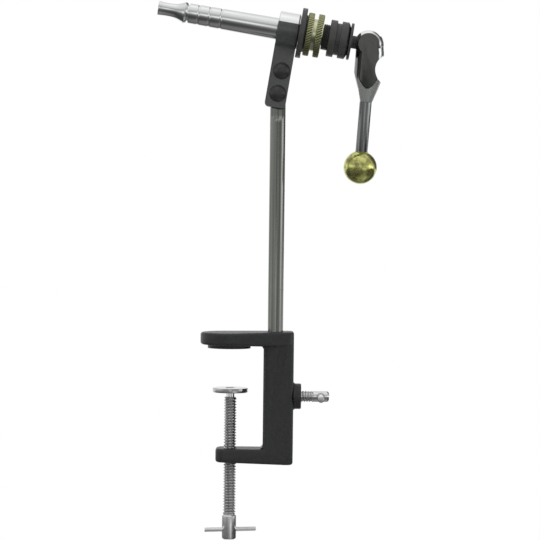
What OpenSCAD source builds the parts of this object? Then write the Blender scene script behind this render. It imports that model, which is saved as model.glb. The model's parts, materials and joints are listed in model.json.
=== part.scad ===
// Fly tying vise: a table clamp, a sliding stem and a cam-lever jaw head.
// The origin is where the clamp screw's axis meets the upper clamping face.
// +Z is up, +X runs from the jaws to the lever, and the jaws open along Y.

/* [Table clamp] */
// Radius of the round end of the upper arm
arm_r = 17.8; // [16:0.1:21]
// Thickness of the upper arm at its round end
arm_t = 7.6; // [6:0.1:10]
// How much the upper arm grows, above and below, towards the spine
arm_growth = 0.8; // [0.4:0.1:1.2]
// How far the round end stands in front of the clamp screw's axis
arm_shift = 1; // [0:0.1:1.5]
// Diameter of the round clamping face
face_d = 26.6; // [22:0.1:30]
// Height of the clamping face below the upper arm
face_h = 2.2; // [1.6:0.1:3]
// Clear height between the clamping face and the lower arm
throat_h = 61.9; // [56:0.1:75]
// Distance from the clamp screw's axis to the spine
throat_depth = 20.3; // [20:0.1:30]
// Width of the spine along X
spine_w = 18.7; // [18:0.1:22]
// Depth of the spine along Y
spine_d = 20; // [19:0.1:25]
// Radius of the spine's upright corners
spine_corner_r = 3; // [1:0.1:4]
// Radius that rounds the edges of both arms
arm_edge_r = 1.6; // [0.5:0.1:2.2]
// Thickness of the lower arm at its free end
lower_t = 8.5; // [6.5:0.1:10]
// How much thicker the lower arm is at the spine
lower_growth = 1.1; // [0.4:0.1:2]
// Width of the lower arm along Y
lower_w = 20; // [18:0.1:25]
// How far the lower arm runs past the clamp screw's axis
lower_reach = 8.8; // [7:0.1:12]
// Radius of the lower arm's corners in plan
lower_corner_r = 6; // [4:0.1:7]
// Radius in the inside corners of the throat
throat_r = 2.4; // [1:0.1:4]
// Diameter of the boss for the stem screw
boss_d = 15.8; // [14:0.1:16.5]
// Height of the boss beyond the spine
boss_h = 4.8; // [3:0.1:7]
// Radius at the root of the boss
boss_root_r = 1.5; // [0.5:0.1:1.8]

/* [Clamp screw] */
// Outer diameter of the clamp screw's thread
clamp_screw_d = 8; // [7:0.1:9]
// Clear distance between the pad and the clamping face
pad_gap = 24.7; // [10:0.1:40]
// Diameter of the swivel pad
pad_d = 22; // [18:0.1:28]
// Thickness of the swivel pad at its rim
pad_t = 2.7; // [2:0.1:4]
// How far the pad's centre stands below its rim
pad_dish = 0.4; // [0.1:0.1:1]
// Diameter of the neck below the pad
neck_d = 5.3; // [4.8:0.1:6.5]
// Length of the neck below the pad
neck_l = 2.5; // [1:0.1:5]
// Diameter of the spigot that the pad turns on
spigot_d = 3.8; // [3:0.1:4.4]
// Length of the threaded part
clamp_thread_l = 73.3; // [66:0.1:90]
// Diameter of the screw's head
clamp_head_d = 8.9; // [8.6:0.1:12]
// Length of the screw's head
clamp_head_l = 15; // [10:0.1:20]
// Diameter of the cross bar in the head
clamp_bar_d = 2.8; // [2:0.1:4]
// Length of the cross bar in the head
clamp_bar_l = 32.5; // [24:0.5:45]
// Angle of the cross bar about the screw, from X
clamp_bar_turn = 14; // [0:1:90]
// How far the cross bar has slid in its hole
clamp_bar_slide = 0.7; // [0:0.1:3]

/* [Stem screw] */
// Outer diameter of the stem screw
stem_screw_d = 7; // [5:0.1:8]
// Height of the stem screw's axis below the clamping face
stem_screw_drop = 29.5; // [20:0.1:40]
// Length of the stem screw outside the boss
stem_screw_out = 17.3; // [14:0.1:24]
// Distance from the screw's outer end to its cross bar
stem_bar_back = 5.2; // [4:0.1:8]
// Diameter of the stem screw's cross bar
stem_bar_d = 4; // [2:0.1:4.2]
// Length of the stem screw's cross bar
stem_bar_l = 28; // [16:0.5:36]
// Tilt of the cross bar about the screw, from level
stem_bar_tilt = 2; // [-45:1:45]
// How far that cross bar has slid in its hole
stem_bar_slide = 3; // [0:0.1:4]

/* [Stem] */
// Diameter of the stem
stem_d = 9.525; // [8:0.025:10]
// Metal between the throat and the stem's bore
bore_wall = 2.35; // [2:0.05:3.5]
// Height of the stem's lower end above the clamp's underside
stem_foot = 5; // [0:0.1:20]
// Height of the bend in the stem above the clamping face
bend_z = 158.4; // [120:0.1:180]
// Thickness of the flattened top of the stem
tang_t = 5.2; // [4:0.1:6]
// Length of the flats below the bend
tang_l = 14.6; // [12:0.1:20]
// Length of the slope where the flats run out
tang_runout = 4; // [2:0.1:6]

/* [Head] */
// Tilt of the barrel, jaws up
head_tilt = 9.3; // [0:0.1:25]
// Distance from the bend to the barrel's axis
head_rise = 38.3; // [36:0.1:46]
// Width of the strap along the barrel
strap_w = 12.9; // [11:0.1:16]
// Thickness of the strap
strap_t = 2.2; // [1.5:0.1:2.8]
// Outer diameter of the strap's ring
ring_d = 22.6; // [21.6:0.1:24]
// Radius of the fold between the ring and the cheeks
fold_r = 3; // [2:0.1:5]
// Distance from the barrel's axis to the cheeks' ends
cheek_l = 48; // [45:0.1:54]
// Radius of the cheeks' lower corners
cheek_corner_r = 2.5; // [1:0.1:4]
// Distance between the two rivets
rivet_pitch = 14; // [12:0.1:18]
// Distance from the barrel's axis to the upper rivet
rivet_drop = 25.3; // [22:0.1:28]
// Offset of the rivets from the strap's middle
rivet_w = 0.6; // [-1:0.1:1]
// Diameter of a rivet's shank
rivet_d = 5; // [3:0.1:6]
// Diameter of a rivet's domed head
rivet_head_d = 10.5; // [8:0.1:11.5]
// Height of a rivet's domed head
rivet_head_h = 3; // [1.5:0.1:4]

/* [Barrel] */
// Distance from the strap's middle to the barrel's front face
barrel_l = 61.9; // [58:0.1:75]
// Diameter of the barrel at its front
barrel_front_d = 12.5; // [12.2:0.1:13.2]
// Diameter of the barrel at its shoulder
barrel_d = 13.5; // [13:0.1:14]
// Diameter of the journal and tail behind the shoulder
journal_d = 11.4; // [10.5:0.1:12]
// Diameter of the chamber that the jaws close in
chamber_d = 9.3; // [9:0.1:9.8]
// Distance from the barrel's front face to the end of the chamber
chamber_l = 43; // [41:0.1:46]
// Diameter of the mouth at the front face
mouth_d = 11.2; // [10.8:0.1:11.4]
// Half angle of the conical seat in the mouth
seat_angle = 14; // [12:0.5:16]
// Distances of the ring grooves behind the front face
ring_grooves = [6, 12.9, 20.1];
// Depth of a ring groove
ring_groove_depth = 0.25; // [0.1:0.05:0.4]
// Radius of the tool that cuts a ring groove
ring_groove_r = 1; // [0.6:0.1:2]

/* [Lock collar and nut] */
// Diameter of the bush's flange behind the strap
bush_flange_d = 20.5; // [19.5:0.1:24]
// Thickness of the bush's flange
bush_flange_t = 0.5; // [0.5:0.1:2]
// Diameter of the lock collar
collar_d = 30.9; // [26:0.1:36]
// Thickness of the lock collar
collar_t = 3.2; // [2:0.1:4]
// Diameter of the boss between the collar and the nut
collar_boss_d = 23; // [18:0.1:26]
// Length of that boss
collar_boss_l = 0.9; // [0.8:0.1:3]
// Diameter of the knurled nut
nut_d = 26.8; // [24:0.1:32]
// Length of the knurled nut
nut_l = 10; // [7:0.1:12]
// Diameter at the bottom of the nut's groove
nut_groove_d = 20; // [17:0.1:23]
// Width of the nut's groove
nut_groove_w = 2.4; // [1.5:0.1:4]
// Free travel of the collar when the nut is slackened
lock_travel = 0.35; // [0.2:0.05:0.8]

/* [Adjusting knob] */
// Diameter of the threaded sleeve that the knob runs on
sleeve_d = 16.2; // [14.6:0.1:17]
// Length of the sleeve
sleeve_l = 12.55; // [11:0.05:16]
// Length of the sleeve that shows ahead of the knob
sleeve_shown = 3.95; // [3:0.05:7]
// Diameter of the knob's two flanges
knob_d = 22.8; // [20:0.1:28]
// Diameter of the valley between the flanges
knob_valley_d = 19.7; // [18.4:0.1:22]
// Width of each flange
knob_flange_w = 4.2; // [2.5:0.1:5]
// Width of the valley
knob_valley_w = 2.8; // [2:0.1:5]
// Length of the tapered back of the knob
knob_back_l = 1.5; // [1:0.1:3]
// Diameter at the back of the knob
knob_back_d = 17; // [14:0.1:20]
// Thickness of the knob's back wall
knob_wall = 1.85; // [1.5:0.05:3]

/* [Thrust bush and draw rod] */
// Diameter of the thrust bush's flange
thrust_d = 22.7; // [18:0.1:28]
// Thickness of the thrust bush's flange
thrust_t = 1.6; // [1:0.1:3]
// Diameter of the nose that the cam bears on
nose_d = 7.9; // [7.6:0.1:8.3]
// Length of the nose
nose_l = 3.5; // [3.2:0.1:6]
// Diameter of the spigot that centres the bush in the knob
thrust_spigot_d = 10; // [9:0.1:12]
// Diameter of the draw rod
rod_d = 6; // [5.4:0.1:6.2]
// Thickness of the draw rod's flat tongue
tongue_t = 3; // [2:0.1:3.2]
// How far the lever draws the rod
draw = 1.8; // [1:0.1:2]
// Length of the draw rod's head
rod_head_l = 7.2; // [6.5:0.1:9]
// Depth of the slot in the draw rod's head
rod_slot_l = 5; // [4.5:0.1:6]
// Width of the slot in the draw rod's head
rod_slot_w = 3; // [2.4:0.1:4]

/* [Jaws] */
// Length of the jaws in front of the barrel
nose_out = 19.15; // [18:0.05:26]
// Radius of the jaws at their tips
tip_r = 4.45; // [3:0.05:5]
// Radius at the waist of the nose
waist_r = 4.1; // [2.6:0.05:5]
// Distance from the tips to the waist
waist_l = 5.5; // [3:0.1:7]
// Radius of the sharp rim
rim_r = 6.75; // [6:0.05:8]
// Distance from the tips to the rim
rim_l = 16.6; // [14:0.1:17]
// Radius of the dark recess behind the rim
recess_r = 5; // [4.4:0.05:5.3]
// Width of that recess
recess_w = 1; // [0.6:0.1:1.5]
// Radius of the jaws' shanks in the chamber
shank_r = 3.7; // [3.3:0.05:3.8]
// Distance from the front face to the jaws' pivots
pivot_depth = 31.4; // [29:0.1:34]
// Distance of each pivot from the middle plane
pivot_y = 2.1; // [1.9:0.05:2.3]
// Diameter of the jaw pins
jaw_pin_d = 1.5; // [1.2:0.05:1.7]
// Space between the two jaws at their tips
jaw_space = 0.1; // [0.05:0.01:0.3]
// Space between the two jaws behind the tips
slit = 0.5; // [0.3:0.05:0.9]
// Length of the tips that meet
grip_l = 9; // [5:0.1:14]

/* [Cam lever] */
// Distance from the strap's middle to the lever's pin
pin_w = 51.7; // [51.4:0.05:52.5]
// Diameter of the lever's pin
lever_pin_d = 3; // [2.4:0.1:3.4]
// Lean of the lever from upright
lever_lean = 4.1; // [0:0.1:9]
// How far the lever swings up
lever_swing = 95; // [60:1:100]
// Radius of the lever's round top
eye_r = 9.6; // [9:0.05:9.8]
// Offset of the round top from the pin
eye_offset = 1.4; // [0:0.1:1.6]
// Radius of the lever's round body
body_r = 8.8; // [8.6:0.05:9.2]
// Distance across the lever's two side flats
lever_t = 14.4; // [13:0.1:16]
// Distance from the pin to the front flat
front_flat = 8.7; // [8.2:0.05:9]
// Distance from the pin to where the taper starts
taper_start = 21.5; // [20:0.1:26]
// Distance from the pin to the end of the taper
taper_end = 35.2; // [32:0.1:42]
// Radius at the end of the taper
taper_r = 3.9; // [3.9:0.05:6]
// Radius of the thumb notch
notch_r = 9.6; // [8:0.1:14]
// Depth of the thumb notch from the round body's side
notch_depth = 4.9; // [1:0.1:5]
// Distance from the pin to the middle of the thumb notch
notch_drop = 14.5; // [11:0.1:16]
// Diameter of the lever's rod
lever_rod_d = 7.5; // [6:0.1:8]
// Diameter of the studs at both ends of the rod
stud_d = 5; // [3:0.1:6]
// Distance from the pin to the middle of the ball
ball_drop = 75.6; // [60:0.05:95]
// Diameter of the ball
ball_d = 20.5; // [14:0.1:26]

/* [Fits] */
// Radial clearance of screws in their threaded holes
thread_gap = 0.05; // [0.02:0.01:0.08]
// Radial clearance of pins and shafts that turn or slide
run_gap = 0.05; // [0.02:0.01:0.08]
// Radial clearance of pieces that are fixed together
seat_gap = 0.02; // [0.01:0.01:0.04]
// Axial clearance between faces that move on each other
face_gap = 0.05; // [0.02:0.01:0.1]
// Clearance of the jaws in the conical seat
cone_gap = 0.08; // [0.04:0.01:0.15]
// Clearance of the lever's pocket round the bush and tongue
pocket_gap = 0.3; // [0.2:0.05:0.4]

/* [Hidden] */
$fn = 96;
hull_fn = 32;
far = 400;

spine_right = throat_depth + spine_w;
lower_z = -throat_h;
spine_foot_z = lower_z - lower_t - lower_growth;
stem_x = throat_depth + bore_wall + stem_d / 2 + run_gap;
stem_foot_z = spine_foot_z + stem_foot;
boss_x = spine_right + boss_h;
boss_edge_r = 0.8;

pad_z = -pad_gap;
pad_under_z = pad_z - pad_t - pad_dish;
peen_h = 1;
peen_r = spigot_d / 2 + 1.3;
clamp_thread_z = pad_under_z - neck_l;
clamp_head_z = clamp_thread_z - clamp_thread_l;
clamp_bar_z = clamp_head_z - clamp_head_l * 0.6;
clamp_chamfer = 0.7;

stem_tip_x = stem_x + stem_d / 2 + face_gap;
stem_screw_end = boss_x + stem_screw_out;
stem_bar_x = stem_screw_end - stem_bar_back;
stem_neck = 0.1;
stem_dome_h = 1.2;

head_x = stem_x + head_rise * sin(head_tilt) - rivet_w * cos(head_tilt);
head_z = bend_z + head_rise * cos(head_tilt) + rivet_w * sin(head_tilt);
ring_r = ring_d / 2;
ring_bore_r = ring_r - strap_t;
cheek_y = tang_t / 2 + strap_t;
tang_top = ring_bore_r + 4;
ring_edge_r = 0.8;

front_w = -barrel_l;
shoulder_w = -strap_w / 2 - face_gap;
chamber_w = front_w + chamber_l;
seat_l = (mouth_d - chamber_d) / 2 / tan(seat_angle);
guide_pin_d = 2;
guide_depth = rod_d / 2 - 0.8;

collar_w = strap_w / 2 + bush_flange_t + face_gap;
collar_back_w = collar_w + collar_t;
nut_w = collar_back_w + collar_boss_l + face_gap;
nut_back_w = nut_w + nut_l;
nut_chamfer = 0.4;
sleeve_w = nut_back_w + lock_travel + face_gap;
sleeve_end_w = sleeve_w + sleeve_l;
knob_w = sleeve_w + sleeve_shown;
knob_flange2_w = knob_w + knob_flange_w + knob_valley_w;
knob_taper_w = knob_flange2_w + knob_flange_w;
knob_back_w = knob_taper_w + knob_back_l;
thrust_w = knob_back_w + face_gap;
thrust_back_w = thrust_w + thrust_t;
nose_w = thrust_back_w + nose_l;

jaw_pivot_w = front_w + pivot_depth;
tip_w = front_w - nose_out;
rod_head_w = jaw_pivot_w - 2.7;
rod_head_back_w = rod_head_w + rod_head_l;
rod_slot_end_w = rod_head_w + rod_slot_l;
rod_head_r = chamber_d / 2 - 2 * run_gap;
shank_back_w = rod_head_w - 0.8;
lug_end_w = rod_slot_end_w - 0.4;
jaw_spring_w = shank_back_w - 5.5;
jaw_spring_r = 1.05;
jaw_spring_wire = 0.4;
jaw_spring_half = 2.1;
pin_half_l = sqrt(pow(rod_head_r, 2) - pow(pivot_y + jaw_pin_d / 2, 2)) - 0.05;
spring_r = 3.75;
spring_wire = 0.8;
spring_turns = 4;

cam_h = pin_w - nose_w - face_gap;
cam_rate = draw / (lever_swing * PI / 180);
socket_l = 6.5;
ball_shoulder = ball_drop - sqrt(pow(ball_d / 2, 2) - pow(lever_rod_d / 2, 2));
ball_hole_l = 9;

// Moves children into the barrel's frame: X runs along the barrel towards the lever,
// with 0 at the strap's middle, and Z is square to the barrel.
module at_head() {
    translate([head_x, 0, head_z]) rotate([0, head_tilt, 0]) children();
}

// Moves children to the lever's pin, with X still along the barrel.
module at_pin() {
    at_head() translate([pin_w, 0, 0]) children();
}

// Moves children to the lever's pin, with Z along the leaning lever.
module at_lever() {
    at_pin() rotate([0, lever_lean - head_tilt, 0]) children();
}

// Turns a profile of radius and distance about the X axis.
module turned() {
    rotate([0, 90, 0]) rotate_extrude() children();
}

// A ring or bush about the X axis, from distance w0 to w1.
module tube_x(d, bore_d, w0, w1) {
    turned() translate([bore_d / 2, w0]) square([(d - bore_d) / 2, w1 - w0]);
}

// A rod about the X axis, from distance w0 to w1.
module rod_x(d, w0, w1) {
    translate([w0, 0, 0]) rotate([0, 90, 0]) cylinder(d = d, h = w1 - w0);
}

// A pin along Y, centred on the XZ plane.
module pin_y(d, l) {
    rotate([90, 0, 0]) cylinder(d = d, h = l, center = true);
}

// A flat shape drawn in X and Z, with thickness t along Y.
module plate_y(t) {
    rotate([90, 0, 0]) linear_extrude(t, center = true) children();
}

// A flat rectangle with rounded corners, from a to b.
module rounded_rect(a, b, r) {
    translate([a[0] + r, a[1]]) square([b[0] - a[0] - 2 * r, b[1] - a[1]]);
    translate([a[0], a[1] + r]) square([b[0] - a[0], b[1] - a[1] - 2 * r]);
    for (x = [a[0] + r, b[0] - r], y = [a[1] + r, b[1] - r])
        translate([x, y]) circle(r);
}

// A disc of thickness t with a rounded rim.
module round_plate(r, t, edge) {
    rotate_extrude() intersection() {
        rounded_rect([-r, 0], [r, t], edge);
        square([r, t]);
    }
}

// A square bar's inside corner, filled with radius r, along Y.
module corner_fill(r, l) {
    plate_y(l) difference() {
        square(r);
        translate([r, r]) circle(r);
    }
}

// Points of a coil's wire: rings of 6 points, 8 rings in each turn, along Z.
function coil_point(r, wire_r, pitch, k, a) =
    let (t = k * 45, s = r + wire_r * cos(a))
    [s * cos(t), s * sin(t), pitch * k / 8 + wire_r * sin(a)];

// A coil spring's wire about the Z axis, as one unbroken tube.
module coil(r, wire_d, l, turns) {
    sides = 6;
    rings = turns * 8 + 1;
    pitch = (l - wire_d) / turns;
    pts = [for (k = [0:rings - 1], j = [0:sides - 1])
        coil_point(r, wire_d / 2, pitch, k, j * 360 / sides)];
    walls = [for (k = [0:rings - 2], j = [0:sides - 1])
        let (a = k * sides + j, b = k * sides + (j + 1) % sides)
        each [[a, a + sides, b], [b, a + sides, b + sides]]];
    first = [for (j = [1:sides - 2]) [0, j, j + 1]];
    last_0 = (rings - 1) * sides;
    last = [for (j = [1:sides - 2]) [last_0, last_0 + j + 1, last_0 + j]];
    translate([0, 0, wire_d / 2]) polyhedron(concat(pts), concat(walls, first, last));
}

module upper_arm() {
    root_r = spine_corner_r + 1;
    hull() {
        translate([-arm_shift, 0, face_h])
            round_plate(arm_r, arm_t, arm_edge_r, $fn = hull_fn);
        for (s = [-1, 1])
            translate([spine_right - root_r, s * (spine_d / 2 - root_r), face_h - arm_growth])
                round_plate(root_r, arm_t + 2 * arm_growth, arm_edge_r, $fn = hull_fn);
    }
    translate([-arm_shift, 0, 0]) cylinder(d = face_d, h = face_h + 1);
}

module lower_arm() {
    root_r = spine_corner_r + 1;
    left_x = lower_corner_r - lower_reach;
    hull() for (s = [-1, 1]) {
        translate([left_x, s * (lower_w / 2 - lower_corner_r), lower_z - lower_t])
            round_plate(lower_corner_r, lower_t, arm_edge_r, $fn = hull_fn);
        translate([spine_right - root_r, s * (spine_d / 2 - root_r), spine_foot_z])
            round_plate(root_r, -spine_foot_z + lower_z, arm_edge_r, $fn = hull_fn);
    }
}

module spine() {
    foot = spine_foot_z + lower_t / 2;
    translate([0, 0, foot]) linear_extrude(face_h + 1 - foot)
        rounded_rect([throat_depth, -spine_d / 2], [spine_right, spine_d / 2], spine_corner_r);
    fill_l = spine_d - 2 * spine_corner_r;
    translate([throat_depth, 0, face_h - arm_growth / 2])
        rotate([0, 180, 0]) corner_fill(throat_r, fill_l);
    translate([throat_depth, 0, lower_z]) mirror([1, 0, 0]) corner_fill(throat_r, fill_l);
}

module stem_boss() {
    r = boss_d / 2;
    translate([spine_right, 0, -stem_screw_drop]) turned() {
        translate([0, -1]) square([r - boss_edge_r, boss_h + 1]);
        translate([0, -1]) square([r, boss_h + 1 - boss_edge_r]);
        translate([r - boss_edge_r, boss_h - boss_edge_r]) circle(boss_edge_r);
        difference() {
            square([r + boss_root_r, boss_root_r]);
            translate([r + boss_root_r, boss_root_r]) circle(boss_root_r);
        }
    }
}

module clamp_frame() {
    color([0.09, 0.09, 0.1]) difference() {
        union() {
            upper_arm();
            lower_arm();
            spine();
            stem_boss();
        }
        translate([0, 0, spine_foot_z - 1])
            cylinder(d = clamp_screw_d + 2 * thread_gap, h = -spine_foot_z + lower_z + 2);
        translate([stem_x, 0, spine_foot_z - 1])
            cylinder(d = stem_d + 2 * run_gap, h = -spine_foot_z + face_h + 2 * arm_t);
        translate([stem_x, 0, -stem_screw_drop])
            rod_x(stem_screw_d + 2 * thread_gap, 0, boss_x - stem_x + 1);
    }
}

module clamp_pad() {
    hole_r = spigot_d / 2 + run_gap;
    rim_r0 = neck_d / 2 + 1.2;
    color([0.8, 0.8, 0.82]) translate([0, 0, pad_z]) rotate_extrude() polygon([
        [hole_r, -pad_t - pad_dish], [rim_r0, -pad_t - pad_dish], [pad_d / 2 - 2, -pad_t],
        [pad_d / 2 - 0.3, -pad_t], [pad_d / 2, -pad_t + 0.3], [pad_d / 2, -0.3],
        [pad_d / 2 - 0.3, 0], [peen_r + run_gap, 0], [hole_r, -peen_h - run_gap]]);
}

module clamp_screw() {
    r = clamp_screw_d / 2;
    head_r = clamp_head_d / 2;
    c = clamp_chamfer;
    color([0.72, 0.73, 0.74]) difference() {
        union() {
            rotate_extrude() polygon([
                [0, pad_z - 0.15], [peen_r - run_gap - 0.15, pad_z - 0.15],
                [spigot_d / 2, pad_z - peen_h - 0.1], [spigot_d / 2, pad_under_z - face_gap],
                [neck_d / 2, pad_under_z - face_gap], [neck_d / 2, clamp_thread_z],
                [r - c, clamp_thread_z], [r, clamp_thread_z - c], [r, clamp_head_z],
                [head_r - c, clamp_head_z], [head_r, clamp_head_z - c],
                [head_r, clamp_head_z - clamp_head_l + c],
                [head_r - c, clamp_head_z - clamp_head_l], [0, clamp_head_z - clamp_head_l]]);
        }
        translate([0, 0, clamp_bar_z]) rotate([0, 0, clamp_bar_turn])
            rod_x(clamp_bar_d + 2 * seat_gap, -clamp_head_d, clamp_head_d);
    }
}

// A cross bar along X with small chamfers at both ends.
module cross_bar(d, l) {
    c = 0.3;
    turned() polygon([[0, -l / 2], [d / 2 - c, -l / 2], [d / 2, -l / 2 + c],
        [d / 2, l / 2 - c], [d / 2 - c, l / 2], [0, l / 2]]);
}

module clamp_screw_bar() {
    color([0.72, 0.73, 0.74]) translate([0, 0, clamp_bar_z]) rotate([0, 0, clamp_bar_turn])
        translate([clamp_bar_slide, 0, 0]) cross_bar(clamp_bar_d, clamp_bar_l);
}

module stem_screw() {
    r = stem_screw_d / 2;
    tip = 0.8;
    color([0.72, 0.73, 0.74]) translate([0, 0, -stem_screw_drop]) difference() {
        turned() polygon([[0, stem_tip_x], [r - tip, stem_tip_x], [r, stem_tip_x + tip],
            [r, stem_bar_x - 1.5 * stem_bar_d], [r - stem_neck, stem_bar_x - 1.4 * stem_bar_d],
            [r - stem_neck, stem_screw_end - stem_dome_h],
            [r - stem_neck - stem_dome_h * 0.4, stem_screw_end - stem_dome_h * 0.35],
            [r - stem_neck - stem_dome_h, stem_screw_end], [0, stem_screw_end]]);
        translate([stem_bar_x, 0, 0]) rotate([stem_bar_tilt, 0, 0])
            pin_y(stem_bar_d + 2 * seat_gap, 3 * stem_screw_d);
    }
}

module stem_screw_bar() {
    color([0.72, 0.73, 0.74]) translate([stem_bar_x, 0, -stem_screw_drop])
        rotate([stem_bar_tilt, 0, 0]) translate([0, -stem_bar_slide, 0])
            rotate([0, 0, 90]) cross_bar(stem_bar_d, stem_bar_l);
}

// The space beyond one of the stem's flats, above the run-out.
module flat_cut(s) {
    h = far;
    translate([stem_x, 0, bend_z - tang_l]) rotate([90, 0, 90])
        linear_extrude(3 * stem_d, center = true)
            polygon([[s * tang_t / 2, 0], [s * tang_t / 2, h], [s * stem_d, h],
                [s * stem_d, -2 * tang_runout],
                [s * (tang_t / 2 + (stem_d - tang_t) / 2), -tang_runout]]);
}

module stem() {
    bend_n = -head_rise;
    color([0.55, 0.57, 0.55]) difference() {
        union() {
            translate([stem_x, 0, stem_foot_z]) cylinder(d = stem_d, h = bend_z - stem_foot_z);
            translate([stem_x, 0, bend_z]) sphere(d = stem_d);
            at_head() translate([rivet_w, 0, bend_n]) cylinder(d = stem_d, h = -bend_n - tang_top);
        }
        for (s = [-1, 1]) flat_cut(s);
        rivet_holes();
    }
}

// Places children at the two rivets, in the barrel's frame.
module at_rivets() {
    at_head() for (k = [0, 1])
        translate([rivet_w, 0, -rivet_drop - k * rivet_pitch]) children();
}

module rivet_holes() {
    at_rivets() pin_y(rivet_d + 2 * seat_gap, far / 10);
}

// Half of the strap's outline seen along the barrel: a cheek and its fold to the ring.
module cheek_profile(s) {
    fold_x = cheek_y + fold_r;
    fold_n = -sqrt(pow(ring_r - 0.3 + fold_r, 2) - pow(fold_x, 2));
    k = (ring_r - 0.3) / (ring_r - 0.3 + fold_r);
    translate([s > 0 ? tang_t / 2 + seat_gap : -cheek_y, -cheek_l])
        square([strap_t - seat_gap, cheek_l - ring_bore_r + 2]);
    difference() {
        polygon([[s * tang_t / 2, fold_n], [s * fold_x, fold_n],
            [s * fold_x * k, fold_n * k], [s * tang_t / 2, -ring_bore_r + 1]]);
        translate([s * fold_x, fold_n]) circle(fold_r + 0.02);
    }
}

module head_strap() {
    half = strap_w / 2;
    color([0.1, 0.1, 0.11]) difference() {
        at_head() intersection() {
            difference() {
                union() {
                    turned() intersection() {
                        rounded_rect([-ring_r, -half], [ring_r, half], ring_edge_r);
                        translate([ring_bore_r / 2, -strap_w]) square([ring_r, 2 * strap_w]);
                    }
                    rotate([90, 0, 90]) linear_extrude(strap_w, center = true)
                        for (s = [-1, 1]) cheek_profile(s);
                }
                rod_x(2 * ring_bore_r, -strap_w, strap_w);
                translate([-strap_w, -tang_t / 2 - seat_gap, -ring_d])
                    cube([2 * strap_w, tang_t + 2 * seat_gap, ring_d]);
            }
            plate_y(far / 8) rounded_rect([-half, -cheek_l], [half, ring_d], cheek_corner_r);
        }
        rivet_holes();
    }
}

module strap_rivets() {
    cap_r = (pow(rivet_head_d / 2, 2) + pow(rivet_head_h, 2)) / (2 * rivet_head_h);
    color([0.08, 0.08, 0.09]) at_rivets() {
        pin_y(rivet_d, 2 * cheek_y);
        for (a = [90, -90]) rotate([a, 0, 0]) translate([0, 0, cheek_y])
            rotate_extrude() intersection() {
                translate([0, rivet_head_h - cap_r]) circle(cap_r);
                square([rivet_head_d, rivet_head_h]);
            }
    }
}

module barrel_bush() {
    bore_d = journal_d + 2 * run_gap;
    color([0.1, 0.1, 0.11]) at_head() {
        tube_x(2 * (ring_bore_r - seat_gap), bore_d, -strap_w / 2, strap_w / 2);
        tube_x(bush_flange_d, bore_d, strap_w / 2, strap_w / 2 + bush_flange_t);
    }
}

module barrel() {
    chamfer = 0.4;
    front_r = barrel_front_d / 2;
    color([0.82, 0.83, 0.85]) at_head() difference() {
        turned() difference() {
            polygon([
                [mouth_d / 2, front_w], [front_r - chamfer, front_w],
                [front_r, front_w + chamfer], [barrel_d / 2, shoulder_w],
                [journal_d / 2, shoulder_w], [journal_d / 2, sleeve_end_w],
                [rod_d / 2 + run_gap, sleeve_end_w], [rod_d / 2 + run_gap, chamber_w],
                [chamber_d / 2, chamber_w], [chamber_d / 2, front_w + seat_l]]);
            for (g = ring_grooves)
                translate([front_r - ring_groove_depth + ring_groove_r, front_w + g])
                    circle(ring_groove_r);
        }
        cylinder(d = guide_pin_d + 2 * seat_gap, h = journal_d);
    }
}

module guide_pin() {
    color([0.6, 0.6, 0.62]) at_head() translate([0, 0, guide_depth])
        cylinder(d = guide_pin_d, h = journal_d / 2 - guide_depth - 0.1);
}

module adjuster_sleeve() {
    color([0.08, 0.08, 0.09]) at_head()
        tube_x(sleeve_d, journal_d + 2 * seat_gap, sleeve_w, sleeve_end_w);
}

module lock_collar() {
    bore_d = journal_d + 2 * run_gap;
    edge = 0.4;
    color([0.08, 0.08, 0.09]) at_head() turned() difference() {
        union() {
            rounded_rect([0, collar_w], [collar_d / 2, collar_back_w], edge);
            translate([0, collar_back_w - 1]) square([collar_boss_d / 2, collar_boss_l + 1]);
        }
        translate([-collar_d, collar_w - 1]) square([collar_d + bore_d / 2, far / 10]);
    }
}

module lock_nut() {
    r = nut_d / 2;
    c = nut_chamfer;
    mid_w = nut_w + nut_l / 2;
    color([0.78, 0.66, 0.28]) at_head() turned() difference() {
        polygon([[journal_d / 2 + thread_gap, nut_w], [r - c, nut_w], [r, nut_w + c],
            [r, nut_back_w - c], [r - c, nut_back_w],
            [journal_d / 2 + thread_gap, nut_back_w]]);
        translate([nut_groove_d / 2, mid_w - nut_groove_w / 2]) square([r, nut_groove_w]);
    }
}

module adjusting_knob() {
    r = knob_d / 2;
    v = knob_valley_d / 2;
    c = 0.35;
    bore_r = sleeve_d / 2 + thread_gap;
    wall_w = knob_back_w - knob_wall;
    hole_r = thrust_spigot_d / 2 + run_gap;
    color([0.08, 0.08, 0.09]) at_head() turned() polygon([
        [bore_r, knob_w], [r - c, knob_w], [r, knob_w + c],
        [r, knob_w + knob_flange_w - c], [r - c, knob_w + knob_flange_w],
        [v, knob_w + knob_flange_w], [v, knob_flange2_w], [r - c, knob_flange2_w],
        [r, knob_flange2_w + c], [r, knob_taper_w - c], [r - c, knob_taper_w],
        [knob_back_d / 2, knob_back_w], [hole_r, knob_back_w], [hole_r, wall_w],
        [bore_r, wall_w]]);
}

module thrust_bush() {
    bore_d = rod_d + 2 * run_gap;
    spigot_w = knob_back_w - knob_wall + 0.3;
    color([0.12, 0.12, 0.13]) at_head() {
        tube_x(thrust_spigot_d, bore_d, spigot_w, thrust_w);
        tube_x(thrust_d, bore_d, thrust_w, thrust_back_w);
        tube_x(nose_d, bore_d, thrust_back_w, nose_w);
    }
}

// Places children at the two jaw pivots; s is -1 for the near jaw and 1 for the far one.
module at_jaw_pivot(s) {
    translate([jaw_pivot_w, s * pivot_y, 0]) children();
}

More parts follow.
